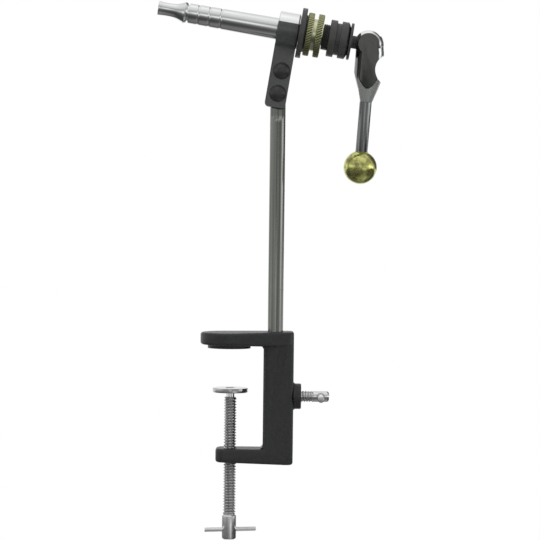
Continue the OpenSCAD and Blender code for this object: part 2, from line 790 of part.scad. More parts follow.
module draw_rod() {
    slot_r = rod_d / 2;
    travel = draw + 2.2;
    color([0.5, 0.5, 0.52]) at_head() difference() {
        union() {
            rod_x(2 * rod_head_r, rod_head_w, rod_head_back_w);
            rod_x(rod_d, rod_head_back_w - 1, nose_w - 0.4);
            intersection() {
                rod_x(rod_d, nose_w - 1, pin_w);
                translate([0, -tongue_t / 2, -rod_d]) cube([far, tongue_t, 2 * rod_d]);
            }
            translate([pin_w, 0, 0]) pin_y(rod_d, tongue_t);
        }
        translate([pin_w, 0, 0]) pin_y(lever_pin_d + 2 * run_gap, 2 * rod_d);
        translate([rod_head_w - 1, -rod_d, -rod_slot_w / 2])
            cube([rod_slot_end_w - rod_head_w + 1, 2 * rod_d, rod_slot_w]);
        for (s = [-1, 1]) at_jaw_pivot(s)
            cylinder(d = jaw_pin_d + 2 * seat_gap, h = 2 * rod_d, center = true);
        translate([-guide_pin_d / 2 - run_gap, -guide_pin_d / 2 - run_gap, guide_depth - 0.2])
            cube([guide_pin_d + 2 * run_gap + travel, guide_pin_d + 2 * run_gap, slot_r]);
    }
}

module return_spring() {
    l = chamber_w - rod_head_back_w - 2 * face_gap;
    color([0.6, 0.6, 0.62]) at_head() translate([rod_head_back_w + face_gap, 0, 0])
        rotate([0, 90, 0]) coil(spring_r, spring_wire, l, spring_turns);
}

// The closed pair of jaws as one turned shape, from the tips to the shanks' ends.
module jaw_pair() {
    tip_edge = 0.3;
    seat_r = mouth_d / 2 - cone_gap;
    cone_l = (seat_r - chamber_d / 2 + cone_gap) / tan(seat_angle);
    belly_w = tip_w + (waist_l + rim_l) / 2;
    turned() polygon([
        [0, tip_w], [tip_r - tip_edge, tip_w], [tip_r, tip_w + tip_edge],
        [(tip_r + waist_r) / 2 - 0.08, tip_w + waist_l / 2], [waist_r, tip_w + waist_l],
        [waist_r + 0.05, tip_w + waist_l * 1.45], [waist_r + 0.25, belly_w - 0.5],
        [waist_r + 0.6, belly_w + 1], [waist_r + 1.15, belly_w + 2.5],
        [waist_r + 1.85, belly_w + 4.1], [rim_r, tip_w + rim_l],
        [rim_r - 0.8, front_w - recess_w], [recess_r, front_w - recess_w],
        [recess_r, front_w + 0.15], [seat_r - 0.15 * tan(seat_angle), front_w + 0.15],
        [seat_r - cone_l * tan(seat_angle), front_w + cone_l],
        [shank_r, front_w + cone_l + 0.6], [shank_r, shank_back_w], [0, shank_back_w]]);
}

// One jaw, drawn closed: s is -1 for the near side and 1 for the far side.
module jaw(s) {
    lug_t = rod_slot_w - 0.2;
    lug_y = pivot_y + jaw_pin_d / 2 + 1;
    difference() {
        union() {
            intersection() {
                jaw_pair();
                translate([tip_w - 1, s > 0 ? 0 : -far, -far / 2]) cube([far, far, far]);
            }
            intersection() {
                translate([shank_back_w - 1, s > 0 ? 0 : -lug_y, -lug_t / 2])
                    cube([lug_end_w - shank_back_w + 1, lug_y, lug_t]);
                rod_x(2 * rod_head_r - 0.6, shank_back_w - 1, lug_end_w);
            }
        }
        translate([tip_w - 1, -jaw_space / 2, -far / 2]) cube([far, jaw_space, far]);
        translate([tip_w + grip_l, -slit / 2, -far / 2]) cube([far, slit, far]);
        at_jaw_pivot(s) cylinder(d = jaw_pin_d + 2 * run_gap, h = rod_d, center = true);
        translate([jaw_spring_w, 0, 0])
            pin_y(2 * jaw_spring_r + jaw_spring_wire + 0.4, 2 * jaw_spring_half + 0.1);
    }
}

module near_jaw() {
    color([0.75, 0.76, 0.78]) at_head() jaw(-1);
}

module far_jaw() {
    color([0.75, 0.76, 0.78]) at_head() jaw(1);
}

module jaw_pins() {
    color([0.6, 0.6, 0.62]) at_head() for (s = [-1, 1]) at_jaw_pivot(s)
        cylinder(d = jaw_pin_d, h = 2 * pin_half_l, center = true);
}

module jaw_spring() {
    color([0.6, 0.6, 0.62]) at_head() translate([jaw_spring_w, jaw_spring_half, 0])
        rotate([90, 0, 0]) coil(jaw_spring_r, jaw_spring_wire, 2 * jaw_spring_half, 4);
}

// Distance from the lever's pin to the cam's face when the lever has swung by a degrees.
function cam_lift(a) = cam_h - cam_rate * a * PI / 180;

// A point of the cam's outline. Its face recedes evenly as the lever swings, so the
// draw rod moves in step with the lever.
function cam_point(a) = [-cam_lift(a) * cos(a) - cam_rate * sin(a),
    cam_lift(a) * sin(a) - cam_rate * cos(a)];

// Two cam lobes' outline, in the barrel's frame. After the full swing's point the face
// goes on straight, never above the bush's end, and it is closed below and to the right.
module cam_profile() {
    back = nose_d;
    end = cam_point(lever_swing);
    slope = min(0, cos(lever_swing) / sin(lever_swing));
    polygon(concat([for (a = [0:5:lever_swing]) cam_point(a)],
        [end, [back, end[1] + (back - end[0]) * slope], [back, -back], [-cam_h, -back]]));
}

// The lever's side view, in the lever's own frame.
module lever_outline() {
    notch_x = body_r + notch_r - notch_depth;
    side = taper_r - 0.5;
    difference() {
        polygon([[-front_flat, 2 * eye_r], [-front_flat, -taper_start * 0.81],
            [-side - 1.5, -taper_end + 6.5], [-side, -taper_end], [-side, -taper_end - 1],
            [taper_r + 0.2, -taper_end - 1], [body_r - 0.3, -taper_start],
            [body_r + 0.3, -taper_start * 0.22], [eye_r, 0], [eye_r, 2 * eye_r]]);
        translate([notch_x, -notch_drop]) circle(notch_r);
    }
}

// The lever's round body before its flats are cut: a ball, a cylinder and a taper.
module lever_blank() {
    shoulder = taper_start * 0.22;
    translate([-eye_offset, 0, 0.15]) rotate([90, 0, 0]) sphere(r = eye_r);
    rotate_extrude() polygon([[0, -taper_end], [taper_r, -taper_end], [body_r, -taper_start],
        [body_r, -shoulder], [body_r - 0.7, 0], [0, 0]]);
}

module cam_lever() {
    slot_t = tongue_t + pocket_gap;
    pocket_t = nose_d + 2 * pocket_gap;
    reach = 2 * eye_r;
    color([0.45, 0.47, 0.46]) difference() {
        at_lever() intersection() {
            lever_blank();
            plate_y(lever_t) lever_outline();
        }
        at_pin() {
            plate_y(pocket_t) difference() {
                translate([-reach, -nose_d / 2 - pocket_gap])
                    square([reach + nose_d / 2 + 1.4, 2 * reach]);
                cam_profile();
            }
            plate_y(slot_t) translate([-reach, -rod_d / 2 - pocket_gap])
                square([reach + rod_d / 2 + 1.2, 2 * reach]);
            pin_y(lever_pin_d + 2 * seat_gap, far / 10);
        }
        at_lever() translate([0, 0, -taper_end - 1])
            cylinder(d = stud_d + 2 * seat_gap, h = socket_l + 1);
    }
}

module lever_pin() {
    color([0.6, 0.6, 0.62]) at_pin() pin_y(lever_pin_d, lever_t - 0.2);
}

module lever_rod() {
    stud_up = socket_l - 0.3;
    stud_down = ball_hole_l - 0.3;
    color([0.6, 0.61, 0.62]) at_lever() {
        translate([0, 0, -ball_shoulder]) cylinder(d = lever_rod_d, h = ball_shoulder - taper_end);
        translate([0, 0, -taper_end - 1]) cylinder(d = stud_d, h = stud_up + 1);
        translate([0, 0, -ball_shoulder - stud_down]) cylinder(d = stud_d, h = stud_down + 1);
    }
}

module lever_ball() {
    color([0.8, 0.68, 0.25]) at_lever() difference() {
        translate([0, 0, -ball_drop]) sphere(d = ball_d);
        translate([0, 0, -ball_shoulder]) cylinder(d = lever_rod_d + 1, h = ball_d);
        translate([0, 0, -ball_shoulder - ball_hole_l])
            cylinder(d = stud_d + 2 * seat_gap, h = ball_hole_l + 1);
    }
}

clamp_frame();
clamp_pad();
clamp_screw();
clamp_screw_bar();
stem_screw();
stem_screw_bar();
stem();
head_strap();
strap_rivets();
barrel_bush();
barrel();
guide_pin();
adjuster_sleeve();
lock_collar();
lock_nut();
adjusting_knob();
thrust_bush();
draw_rod();
return_spring();
near_jaw();
far_jaw();
jaw_pins();
jaw_spring();
cam_lever();
lever_pin();
lever_rod();
lever_ball();
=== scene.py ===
"""Looks of a fly tying vise: a black table clamp, a steel stem and a tilted chrome head.

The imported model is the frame. Each operator makes a piece or a group of like pieces.
"""

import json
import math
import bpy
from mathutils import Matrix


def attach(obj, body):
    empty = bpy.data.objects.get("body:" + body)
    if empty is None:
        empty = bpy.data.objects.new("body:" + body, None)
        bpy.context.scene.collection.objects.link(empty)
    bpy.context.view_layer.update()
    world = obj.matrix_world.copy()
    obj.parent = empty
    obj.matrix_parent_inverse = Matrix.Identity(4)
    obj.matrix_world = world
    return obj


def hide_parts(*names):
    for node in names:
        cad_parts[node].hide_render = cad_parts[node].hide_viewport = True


bl_info = {
    "name": "Fly Tying Vise Looks",
    "version": (1, 0, 0),
    "blender": (4, 5, 0),
    "location": "View3D > Sidebar > Vise",
    "description": "Builds the finished pieces, materials and stage of a fly tying vise",
    "category": "Add Mesh",
}

import bmesh
import bpy
import numpy as np
from bpy.props import FloatProperty, FloatVectorProperty, IntProperty, PointerProperty
from mathutils import Matrix, Vector

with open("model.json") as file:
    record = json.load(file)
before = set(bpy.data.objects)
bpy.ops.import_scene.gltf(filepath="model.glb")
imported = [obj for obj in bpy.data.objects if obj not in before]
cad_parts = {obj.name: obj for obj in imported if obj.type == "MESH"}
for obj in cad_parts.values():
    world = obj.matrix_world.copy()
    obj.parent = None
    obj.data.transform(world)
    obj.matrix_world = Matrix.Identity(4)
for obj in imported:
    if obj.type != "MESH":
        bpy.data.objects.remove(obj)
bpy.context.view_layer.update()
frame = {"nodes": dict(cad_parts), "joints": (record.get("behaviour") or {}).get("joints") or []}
joints = {joint["name"]: joint for joint in frame["joints"]}
MM = 0.001
X, Y, Z = np.eye(3)
WHITE = (1, 1, 1, 1)


# Places


class Place:
    """A right-handed frame: a point in metres and the directions of its own X, Y and Z."""

    def __init__(self, origin, along, side=Y):
        self.origin = np.array(origin, float)
        z = np.array(along, float)
        self.z = z / np.linalg.norm(z)
        y = np.array(side, float)
        y = y - self.z * (y @ self.z)
        self.y = y / np.linalg.norm(y)
        self.x = np.cross(self.y, self.z)

    def world(self, points):
        """Points in millimetres in this frame, as points in metres in the row frame."""
        turn = np.stack([self.x, self.y, self.z])
        return self.origin + MM * (points @ turn)


# Along the barrel towards the lever, with 0 at the strap's middle.
HEAD = Place(joints["head_rotation"]["pos_m"], joints["head_rotation"]["axis"])
PIN = np.array(joints["lever_turn"]["pos_m"], float)
LEVER_LEAN = math.radians(4.1)
# Up the lever's rod, with 0 at the lever's pin.
LEVER = Place(PIN, math.sin(LEVER_LEAN) * X + math.cos(LEVER_LEAN) * Z)
UPRIGHT = Place((0, 0, 0), Z)
# Along the stem screw, with 0 below the origin, and where its cross bar goes through it.
STEM_SCREW = Place((0, 0, -29.5 * MM), X)
STEM_BAR = STEM_SCREW.world(55.9 * Z)
# The middle of the lock nut, in millimetres along HEAD.
NUT_MIDDLE = 16.15
# The bores round the barrel's tail and round the draw rod, in millimetres.
TAIL_BORE, ROD_BORE = 5.75, 3.05


# Surfaces


def rounded(*corners, steps=4):
    """A profile with its corners rounded.

    Each corner is (radius from the axis, distance along it, fillet), in millimetres. A
    fillet f is the quadratic curve that leaves the corner's two sides at the same length,
    f times the tangent of half the turn, and never more than 0.45 of a side.
    """
    out = []
    last = len(corners) - 1
    for k, (r, w, fillet) in enumerate(corners):
        here = np.array([r, w], float)
        if fillet <= 0 or k in (0, last):
            out.append(here)
            continue
        before = np.array(corners[k - 1][:2], float) - here
        after = np.array(corners[k + 1][:2], float) - here
        a, b = np.linalg.norm(before), np.linalg.norm(after)
        turn = math.pi - math.acos(max(-1.0, min(1.0, float(before @ after) / (a * b))))
        cut = min(fillet * math.tan(turn / 2), 0.45 * a, 0.45 * b)
        start, end = here + before / a * cut, here + after / b * cut
        t = np.linspace(0.0, 1.0, steps + 1)[:, None]
        out.extend((1 - t) ** 2 * start + 2 * t * (1 - t) * here + t**2 * end)
    return np.array(out)


def loop(*corners):
    """A closed profile: as rounded(), with the last corner joined to the first."""
    return rounded(corners[-1], *corners, corners[0])[1:-1]


def refined(profile, low, high, step):
    """The profile with a point at least every step between distances low and high."""
    out = [profile[:1]]
    for a, b in zip(profile[:-1], profile[1:]):
        inside = min(a[1], b[1]) >= low - 1e-6 and max(a[1], b[1]) <= high + 1e-6
        count = max(1, math.ceil(abs(b[1] - a[1]) / step)) if inside else 1
        t = np.arange(1, count + 1)[:, None] / count
        out.append(a + (b - a) * t)
    return np.concatenate(out)


def faded(w, low, high, run):
    """1 at distances w between low and high, and falling to 0 within run of each."""
    return np.clip(np.minimum(w - low, high - w) / run, 0, 1)


def thread(pitch, depth, low, high, crest=0.3):
    """How deep a thread is cut at angle t and distance w.

    The phase is w / pitch - t / 360 degrees, and the cut is a ridge that falls from its
    crest to its root and rises again in one pitch, faded out half a pitch from each end.
    """

    def cut(angle, w):
        phase = (w / pitch - angle / (2 * math.pi)) % 1.0
        ridge = np.clip((np.abs(phase - 0.5) * 2 - crest / 2) / (1 - crest), 0, 1)
        return depth * (1 - ridge) * faded(w, low, high, 0.5 * pitch)

    return cut


def knurl(count, lead, depth, bands):
    """How deep a diamond knurl is cut at angle t and distance w.

    Two families of V grooves wind opposite ways, count of them round the piece, each
    advancing by lead for one groove's spacing. The cut is the deeper of the two, where
    the second family counts for 0.45, to the power 1.3 and faded out within 0.35 mm of
    each band's ends.
    """

    def cut(angle, w):
        one = np.abs((count * angle / (2 * math.pi) + w / lead) % 1.0 - 0.5) * 2
        two = np.abs((count * angle / (2 * math.pi) - w / lead) % 1.0 - 0.5) * 2
        deep = np.maximum(one, 0.45 * two) ** 1.3
        return depth * deep * sum(faded(w, low, high, 0.35) for low, high in bands)

    return cut


def outer_only(cut, profile, r_min):
    """The same cut on the profile's rings outside r_min, and none on those inside."""
    keep = (profile[:, :1] > r_min).astype(float)
    return lambda angle, w: cut(angle, w) * keep


def make_mesh(name, points, faces, groove=None, smooth=40.0):
    """A mesh object from whole arrays of points and faces, shaded smooth up to an angle."""
    mesh = bpy.data.meshes.new(name)
    mesh.from_pydata(points.tolist(), [], faces)
    mesh.update()
    if groove is not None:
        layer = mesh.attributes.new("groove", "FLOAT", "POINT")
        layer.data.foreach_set("value", groove.astype(np.float32))
    return link(name, mesh, smooth)


def link(name, mesh, smooth=40.0):
    """Puts a mesh in the scene, smooth except at edges sharper than the angle."""
    mesh.polygons.foreach_set("use_smooth", [True] * len(mesh.polygons))
    mesh.set_sharp_from_angle(angle=math.radians(smooth))
    mesh.update()
    piece = bpy.data.objects.new(name, mesh)
    bpy.context.scene.collection.objects.link(piece)
    return piece


def lathe(name, place, profile, sides=96, cut=None, closed=False, smooth=40.0):
    """A turned piece: the profile (r, w) carried round the place's Z axis.

    Point (i, j) is (r cos t, r sin t, w) with t = 360 j / sides and r less the cut at
    that angle and distance. An open profile ends on the axis at a pole at both ends.
    """
    angle = np.arange(sides) * (2 * math.pi / sides)
    rings = profile if closed else profile[1:-1]
    r = np.repeat(rings[:, :1], sides, axis=1)
    w = np.repeat(rings[:, 1:], sides, axis=1)
    depth = np.zeros_like(r) if cut is None else cut(angle[None, :] + 0 * w, w)
    r = r - depth
    grid = np.stack([r * np.cos(angle), r * np.sin(angle), w], axis=-1).reshape(-1, 3)
    groove = depth.reshape(-1) / max(1e-9, depth.max())
    m = len(rings)
    i = np.arange(m if closed else m - 1)[:, None]
    j = np.arange(sides)[None, :]
    a, b = i * sides + j, i * sides + (j + 1) % sides
    c, d = ((i + 1) % m) * sides + (j + 1) % sides, ((i + 1) % m) * sides + j
    faces = np.stack([a, b, c, d], axis=-1).reshape(-1, 4)
    flip = profile_turns_left(rings if closed else profile)
    if flip:
        faces = faces[:, ::-1]
    faces = faces.tolist()
    if not closed:
        first, last = len(grid), len(grid) + 1
        poles = np.array([[0, 0, profile[0, 1]], [0, 0, profile[-1, 1]]])
        grid = np.concatenate([grid, poles])
        groove = np.concatenate([groove, [0.0, 0.0]])
        k = np.arange(sides)
        n = (k + 1) % sides
        top = (m - 1) * sides
        fan_a = np.stack([np.full(sides, first), n, k], axis=-1)
        fan_b = np.stack([np.full(sides, last), top + k, top + n], axis=-1)
        if flip:
            fan_a, fan_b = fan_a[:, ::-1], fan_b[:, ::-1]
        faces += fan_a.tolist() + fan_b.tolist()
    return make_mesh(name, place.world(grid), faces, groove, smooth)


def round_bar(name, place, low, high, r, fillet, sides):
    """A plain round bar between two distances along the place's Z axis."""
    ends = ((0, low, 0), (r, low, fillet), (r, high, fillet), (0, high, 0))
    return lathe(name, place, rounded(*ends, steps=5), sides)


def profile_turns_left(profile):
    """True if the profile's faces would point inwards: its area in (r, w) is negative."""
    r, w = profile[:, 0], profile[:, 1]
    return float(np.sum(r * np.roll(w, -1) - np.roll(r, -1) * w)) < 0


def copy_of(node, name, smooth=35.0, bevel=0.0, segments=2, bevel_angle=30.0):
    """A merged copy of a CAD node, its flat faces made whole and its edges softened."""
    mesh = frame["nodes"][node].data.copy()
    mesh.materials.clear()
    work = bmesh.new()
    work.from_mesh(mesh)
    bmesh.ops.remove_doubles(work, verts=work.verts, dist=2e-6)
    bmesh.ops.dissolve_limit(
        work,
        angle_limit=math.radians(0.6),
        verts=work.verts,
        edges=work.edges,
    )
    work.to_mesh(mesh)
    work.free()
    piece = link(name, mesh, smooth)
    if bevel > 0:
        soft = piece.modifiers.new("Softened edges", "BEVEL")
        soft.width = bevel * MM
        soft.segments = segments
        soft.limit_method = "ANGLE"
        soft.angle_limit = math.radians(bevel_angle)
        soft.harden_normals = True
        soft.use_clamp_overlap = True
    return piece


def settle(piece, body, material, slot, *nodes):
    """Gives a piece its material, its body, and the CAD nodes it stands for. The slot is not
    used.
    """
    piece.data.materials.append(material)
    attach(piece, body)
    if nodes:
        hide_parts(*nodes)


# Shader maths


class Wire:
    """A shader value: +, -, * and abs() on it add Math nodes."""

    def __init__(self, nodes, socket):
        self.nodes, self.socket = nodes, socket

    def maths(self, operation, *values):
        return self.nodes.add("ShaderNodeMath", {"operation": operation}, values)

    def __add__(self, value):
        return self.maths("ADD", self, value)

    def __sub__(self, value):
        return self.maths("SUBTRACT", self, value)

    def __rsub__(self, value):
        return self.maths("SUBTRACT", value, self)

    def __mul__(self, value):
        return self.maths("MULTIPLY", self, value)

    def __abs__(self):
        return self.maths("ABSOLUTE", self)

    __radd__, __rmul__ = __add__, __mul__

    def between(self, low, high):
        """0 below low, 1 above high and a smooth step in between."""
        return self.nodes.add(
            "ShaderNodeMapRange",
            {"interpolation_type": "SMOOTHSTEP"},
            {"Value": self, "From Min": low, "From Max": high},
        )


class Nodes:
    """A shader tree under construction, with its output and its coordinates."""

    def __init__(self, owner, output, coordinates):
        owner.use_nodes = True
        self.tree = owner.node_tree
        self.tree.nodes.clear()
        self.output = self.tree.nodes.new(output)
        self.where = self.add("ShaderNodeTexCoord", {}, {}, coordinates)

    def put(self, socket, value):
        if isinstance(value, Wire):
            self.tree.links.new(value.socket, socket)
        else:
            socket.default_value = value

    def show(self, shader):
        """Makes a shader the tree's result, in place of the one before."""
        self.tree.links.new(shader, self.output.inputs["Surface"])

    def add(self, kind, settings, values, out=0):
        """Adds a node: its settings first, then the values or wires of its sockets."""
        node = self.tree.nodes.new(kind)
        for key, value in settings.items():
            setattr(node, key, value)
        pairs = values.items() if isinstance(values, dict) else enumerate(values)
        for key, value in pairs:
            self.put(node.inputs[key], value)
        return Wire(self, node.outputs[out])

    def vector(self, operation, *values, out="Vector"):
        """A Vector Math node on wires and constant vectors."""
        values = [v if isinstance(v, Wire) else tuple(map(float, v)) for v in values]
        return self.add("ShaderNodeVectorMath", {"operation": operation}, values, out)

    def noise(self, size, detail=2.0, roughness=0.5, where=None):
        """Noise from 0 to 1 whose lumps are about size millimetres."""
        return self.add(
            "ShaderNodeTexNoise",
            {},
            {
                "Vector": where or self.where,
                "Scale": 1.0 / (size * MM),
                "Detail": detail,
                "Roughness": roughness,
            },
        )

    def rings(self, axis, size, detail=2.0):
        """Noise that changes only along an axis, as the marks of a lathe tool do."""
        return self.add(
            "ShaderNodeTexNoise",
            {"noise_dimensions": "1D"},
            {"W": self.along(axis) * (1.0 / (size * MM)), "Scale": 1.0, "Detail": detail},
        )

    def groove(self):
        """1 at the bottom of a thread or knurl and 0 on its crests."""
        return self.add("ShaderNodeAttribute", {"attribute_name": "groove"}, {}, "Fac")

    def mix(self, share, one, two):
        """Colour one where share is 0, and colour two where it is 1."""
        node = self.tree.nodes.new("ShaderNodeMix")
        node.data_type = "RGBA"
        self.put(node.inputs["Factor"], share)
        self.put(node.inputs["A"], (*one, 1.0) if isinstance(one, tuple) else one)
        self.put(node.inputs["B"], (*two, 1.0) if isinstance(two, tuple) else two)
        return Wire(self, node.outputs["Result"])

    def along(self, axis):
        """Distance along an axis, in metres, or the share of a direction in it."""
        return self.vector("DOT_PRODUCT", self.where, axis, out="Value")

    def past(self, point, axis):
        """Distance beyond a point along an axis, in metres."""
        return self.along(axis) - float(point @ axis)

    def ramp(self, value, stops):
        """A level read from a table of (position, level), smooth in between."""
        node = self.tree.nodes.new("ShaderNodeValToRGB")
        elements = node.color_ramp.elements
        elements[0].position, elements[1].position = stops[0][0], stops[-1][0]
        elements[0].color = (*[stops[0][1]] * 3, 1)
        elements[1].color = (*[stops[-1][1]] * 3, 1)
        for position, level in stops[1:-1]:
            elements.new(position).color = (level, level, level, 1)
        self.put(node.inputs["Fac"], value)
        return Wire(self, node.outputs["Color"])

    def light_path(self, ray):
        """1 for rays of a kind, and 0 for all others."""
        return self.add("ShaderNodeLightPath", {}, {}, ray)

    def seen(self):
        """1 for rays that show the background itself: the camera's, and through glass."""
        return self.light_path("Is Camera Ray") + self.light_path("Is Transmission Ray")

    def blend(self, share, one, two):
        """Level one where share is 0, and level two where it is 1."""
        return one + share * (two - one)

    def plain(self, kind, values):
        """A shader of its own, such as a glow, with its values set."""
        return self.add(kind, {}, values).socket

    def over(self, share, one, two):
        """Shader one where share is 0, and shader two where it is 1."""
        node = self.tree.nodes.new("ShaderNodeMixShader")
        self.put(node.inputs["Fac"], share)
        self.tree.links.new(one, node.inputs[1])
        self.tree.links.new(two, node.inputs[2])
        return node.outputs[0]


class Finish(Nodes):
    """A material under construction, and its main shader's sockets."""

    def __init__(self, name, colour, metallic=0.0, roughness=0.5, coat=0.0):
        self.material = bpy.data.materials.new(name)
        self.material.diffuse_color = (*colour, 1.0)
        super().__init__(self.material, "ShaderNodeOutputMaterial", "Object")
        self.shader = self.tree.nodes.new("ShaderNodeBsdfPrincipled")
        self.show(self.shader.outputs[0])
        self.set("Base Color", (*colour, 1.0))
        self.set("Metallic", metallic)
        self.set("Roughness", roughness)
        self.set("Coat Weight", coat)

    def set(self, name, value):
        self.put(self.shader.inputs[name], value)

    def bump(self, height, strength, distance):
        """Lets a height from 0 to 1 stand out by distance millimetres."""
        self.set(
            "Normal",
            self.add(
                "ShaderNodeBump",
                {},
                {"Strength": strength, "Distance": distance * MM, "Height": height},
                "Normal",
            ),
        )


def shade(colour, by):
    """The colour made lighter or darker by a factor."""
    return tuple(min(1.0, c * by) for c in colour)


finishes = {}


def finish(make, *values, **more):
    """The material that make returns, made once for each first value, its name."""
    key = (make, *values[:1])
    if key not in finishes:
        finishes[key] = make(*values, **more)
    return finishes[key]


def cast_paint():
    """Black paint over a casting: small lumps, a fine orange peel and glossy specks."""
    look = bpy.context.scene.vise_clamp
    f = Finish("Cast black paint", tuple(look.paint), roughness=look.gloss, coat=0.0)
    f.set("Specular IOR Level", 0.35)
    lumps = f.noise(2.4, 3.0, 0.55)
    peel = f.noise(0.55, 2.0, 0.6)
    specks = f.noise(0.32, 1.0).between(0.60, 0.70)
    colour = tuple(look.paint)
    f.set("Base Color", f.mix(lumps, shade(colour, 0.75), shade(colour, 1.35)))
    f.set("Roughness", look.gloss + (peel - 0.5) * 0.35 - specks * 0.16)
    f.bump(lumps * 0.45 + peel * 0.55, 0.55, 0.16)
    return f.material


def zinc(name, axis, by=1.0, grime=0.5, hole=None):
    """Bright zinc plate: turned rings under the plate, dull patches, painted shade in grooves.

    A hole along Y, given by a point on its axis, has a ring of painted shade round it.
    """
    colour = tuple(channel * by for channel in bpy.context.scene.vise_clamp.zinc)
    f = Finish(name, colour, metallic=0.96, roughness=0.28)
    cloud = f.noise(5.0, 3.0)
    ring = f.rings(axis, 0.25, 3.0)
    # Painted shade: the grooves, and a ring round the bar's hole, are darkened where shade
    # falls.
    painted_shade = f.groove()
    if hole is not None:
        from_hole = f.vector("MULTIPLY_ADD", f.where, X + Z, -hole)
        away = f.vector("LENGTH", from_hole, out="Value")
        painted_shade = painted_shade + (1.0 - away.between(2.2 * MM, 2.8 * MM)) * (2.0 - painted_shade)
    base = f.mix(cloud, shade(colour, 0.85), shade(colour, 1.1))
    f.set("Base Color", f.mix(painted_shade * grime, base, shade(colour, 0.12)))
    f.set("Roughness", cloud * 0.07 + ring * 0.05 + painted_shade * 0.1 + 0.06)
    f.bump(ring, 0.2, 0.03)
    return f.material


def drawn_steel(name, colour):
    """Drawn bar: long dark and bright streaks, fine lines and a few grey spots."""
    f = Finish(name, colour, metallic=1.0, roughness=0.26)
    long_way = f.vector("MULTIPLY", f.where, (1.0, 1.0, 0.012))
    streaks = f.noise(1.5, 1.0, 0.5, long_way).between(0.36, 0.64)
    lines = f.noise(0.35, 2.0, 0.5, long_way)
    cloud = f.noise(9.0, 3.0)
    spots = f.noise(1.1, 2.0).between(0.66, 0.74)
    base = f.mix(streaks, shade(colour, 0.6), shade(colour, 1.3))
    worn = f.mix(cloud * 0.5, base, shade(colour, 0.8))
    f.set("Base Color", f.mix(spots * 0.35, worn, shade(colour, 0.5)))
    f.set("Roughness", lines * 0.12 + cloud * 0.06 + spots * 0.12 + 0.08)
    f.bump(streaks * 0.7 + lines * 0.3, 0.25, 0.05)
    return f.material


def gloss_black():
    """Gloss black enamel on the strap, with a painted highlight of bright metal on the ring's
    top.
    """
    look = bpy.context.scene.vise_head
    colour = tuple(look.enamel)
    f = Finish("Gloss black enamel", colour, roughness=0.3, coat=0.15)
    f.set("Coat Roughness", 0.12)
    # Painted highlight: above 4.2 mm the ring's top turns to bright metal, in place of the
    # reflection of the light above.
    painted_highlight = f.past(HEAD.origin, -HEAD.x).between(4.2 * MM, 4.6 * MM)
    peel = f.noise(1.6, 2.0)
    fine = f.noise(0.4, 2.0)
    black = f.mix(peel, shade(colour, 0.8), shade(colour, 1.3))
    f.set("Base Color", f.mix(painted_highlight, black, tuple(look.painted_highlight)))
    f.set("Metallic", painted_highlight)
    f.set("Roughness", peel * 0.1 + fine * 0.1 + 0.2 - painted_highlight * 0.1)
    f.bump(peel * 0.7 + fine * 0.3, 0.2, 0.05)
    return f.material


def black_oxide(name="Black oxide", by=1.0):
    """Turned steel blackened in a bath: tool rings, and thin wear on lumps."""
    colour = shade(tuple(bpy.context.scene.vise_head.oxide), by)
    f = Finish(name, colour, metallic=0.1, roughness=0.36)
    ring = f.rings(HEAD.z, 0.3, 3.0)
    cloud = f.noise(3.0, 3.0)
    dust = f.groove()
    base = f.mix(cloud, shade(colour, 0.75), shade(colour, 1.4))
    f.set("Base Color", f.mix(dust * 0.5, base, shade(colour, 0.5)))
    f.set("Roughness", ring * 0.16 + cloud * 0.12 + 0.24)
    f.bump(ring, 0.3, 0.04)
    return f.material


def chrome(name, dull):
    """Bright chrome over turned steel: faint tool rings and finger smears."""
    colour = tuple(bpy.context.scene.vise_head.chrome)
    f = Finish(name, colour, metallic=1.0, roughness=dull)
    ring = f.rings(HEAD.z, 0.35, 2.0)
    smear = f.noise(7.0, 3.0, 0.6)
    pits = f.noise(0.5, 1.0).between(0.70, 0.76)
    base = f.mix(smear, shade(colour, 0.94), shade(colour, 1.03))
    f.set("Base Color", f.mix(pits * 0.25, base, shade(colour, 0.6)))
    f.set("Roughness", smear * 0.10 + ring * 0.05 + pits * 0.1 + (dull - 0.05))
    f.bump(ring, 0.08, 0.02)
    return f.material


def knurled_brass():
    """Brass of the lock nut: turned rings, olive clouds, tarnish in the knurl, and a painted
    highlight on the groove's floor.
    """
    look = bpy.context.scene.vise_head
    colour = tuple(look.brass)
    f = Finish("Knurled brass", colour, metallic=1.0, roughness=0.24)
    ring = f.rings(HEAD.z, 0.3, 2.0)
    cloud = f.noise(4.0, 3.0, 0.6)
    tarnish = f.groove()
    from_head = f.vector("SUBTRACT", f.where, HEAD.origin)
    across = f.vector("CROSS_PRODUCT", from_head, HEAD.z)
    radius = f.vector("LENGTH", across, out="Value")
    # Painted highlight: the floor of the groove between the knurled bands is made pale.
    beside = abs(f.past(HEAD.origin, HEAD.z) - NUT_MIDDLE * MM)
    above = radius.between(10.3 * MM, 11.2 * MM)
    painted_groove_highlight = (1.0 - above) * (1.0 - beside.between(0.6 * MM, 1.0 * MM))
    crests = f.mix(cloud, shade(colour, 0.8), shade(colour, 1.1))
    base = f.mix(painted_groove_highlight, crests, tuple(look.painted_groove_highlight))
    f.set("Base Color", f.mix(tarnish.between(0.1, 0.8) * 0.95, base, shade(colour, 0.16)))
    f.set("Roughness", cloud * 0.12 + ring * 0.06 + tarnish * 0.25 + 0.14)
    f.bump(ring, 0.1, 0.02)
    return f.material


def ball_brass():
    """Lacquered brass of the ball: soft dents, and yellow, green and brown clouds."""
    colour = tuple(bpy.context.scene.vise_head.ball)
    f = Finish("Ball brass", colour, metallic=0.93, roughness=0.2)
    cloud = f.noise(5.0, 2.0, 0.5)
    patch = f.noise(3.2, 1.0).between(0.42, 0.62)
    warm = (colour[0], colour[1] * 0.9, colour[2] * 1.2)
    base = f.mix(patch, shade(colour, 1.15), shade(warm, 0.6))
    f.set("Base Color", f.mix(cloud * 0.5, base, shade(colour, 0.75)))
    f.set("Roughness", cloud * 0.16 + patch * 0.08 + 0.08)
    f.bump(cloud, 0.6, 0.5)
    return f.material


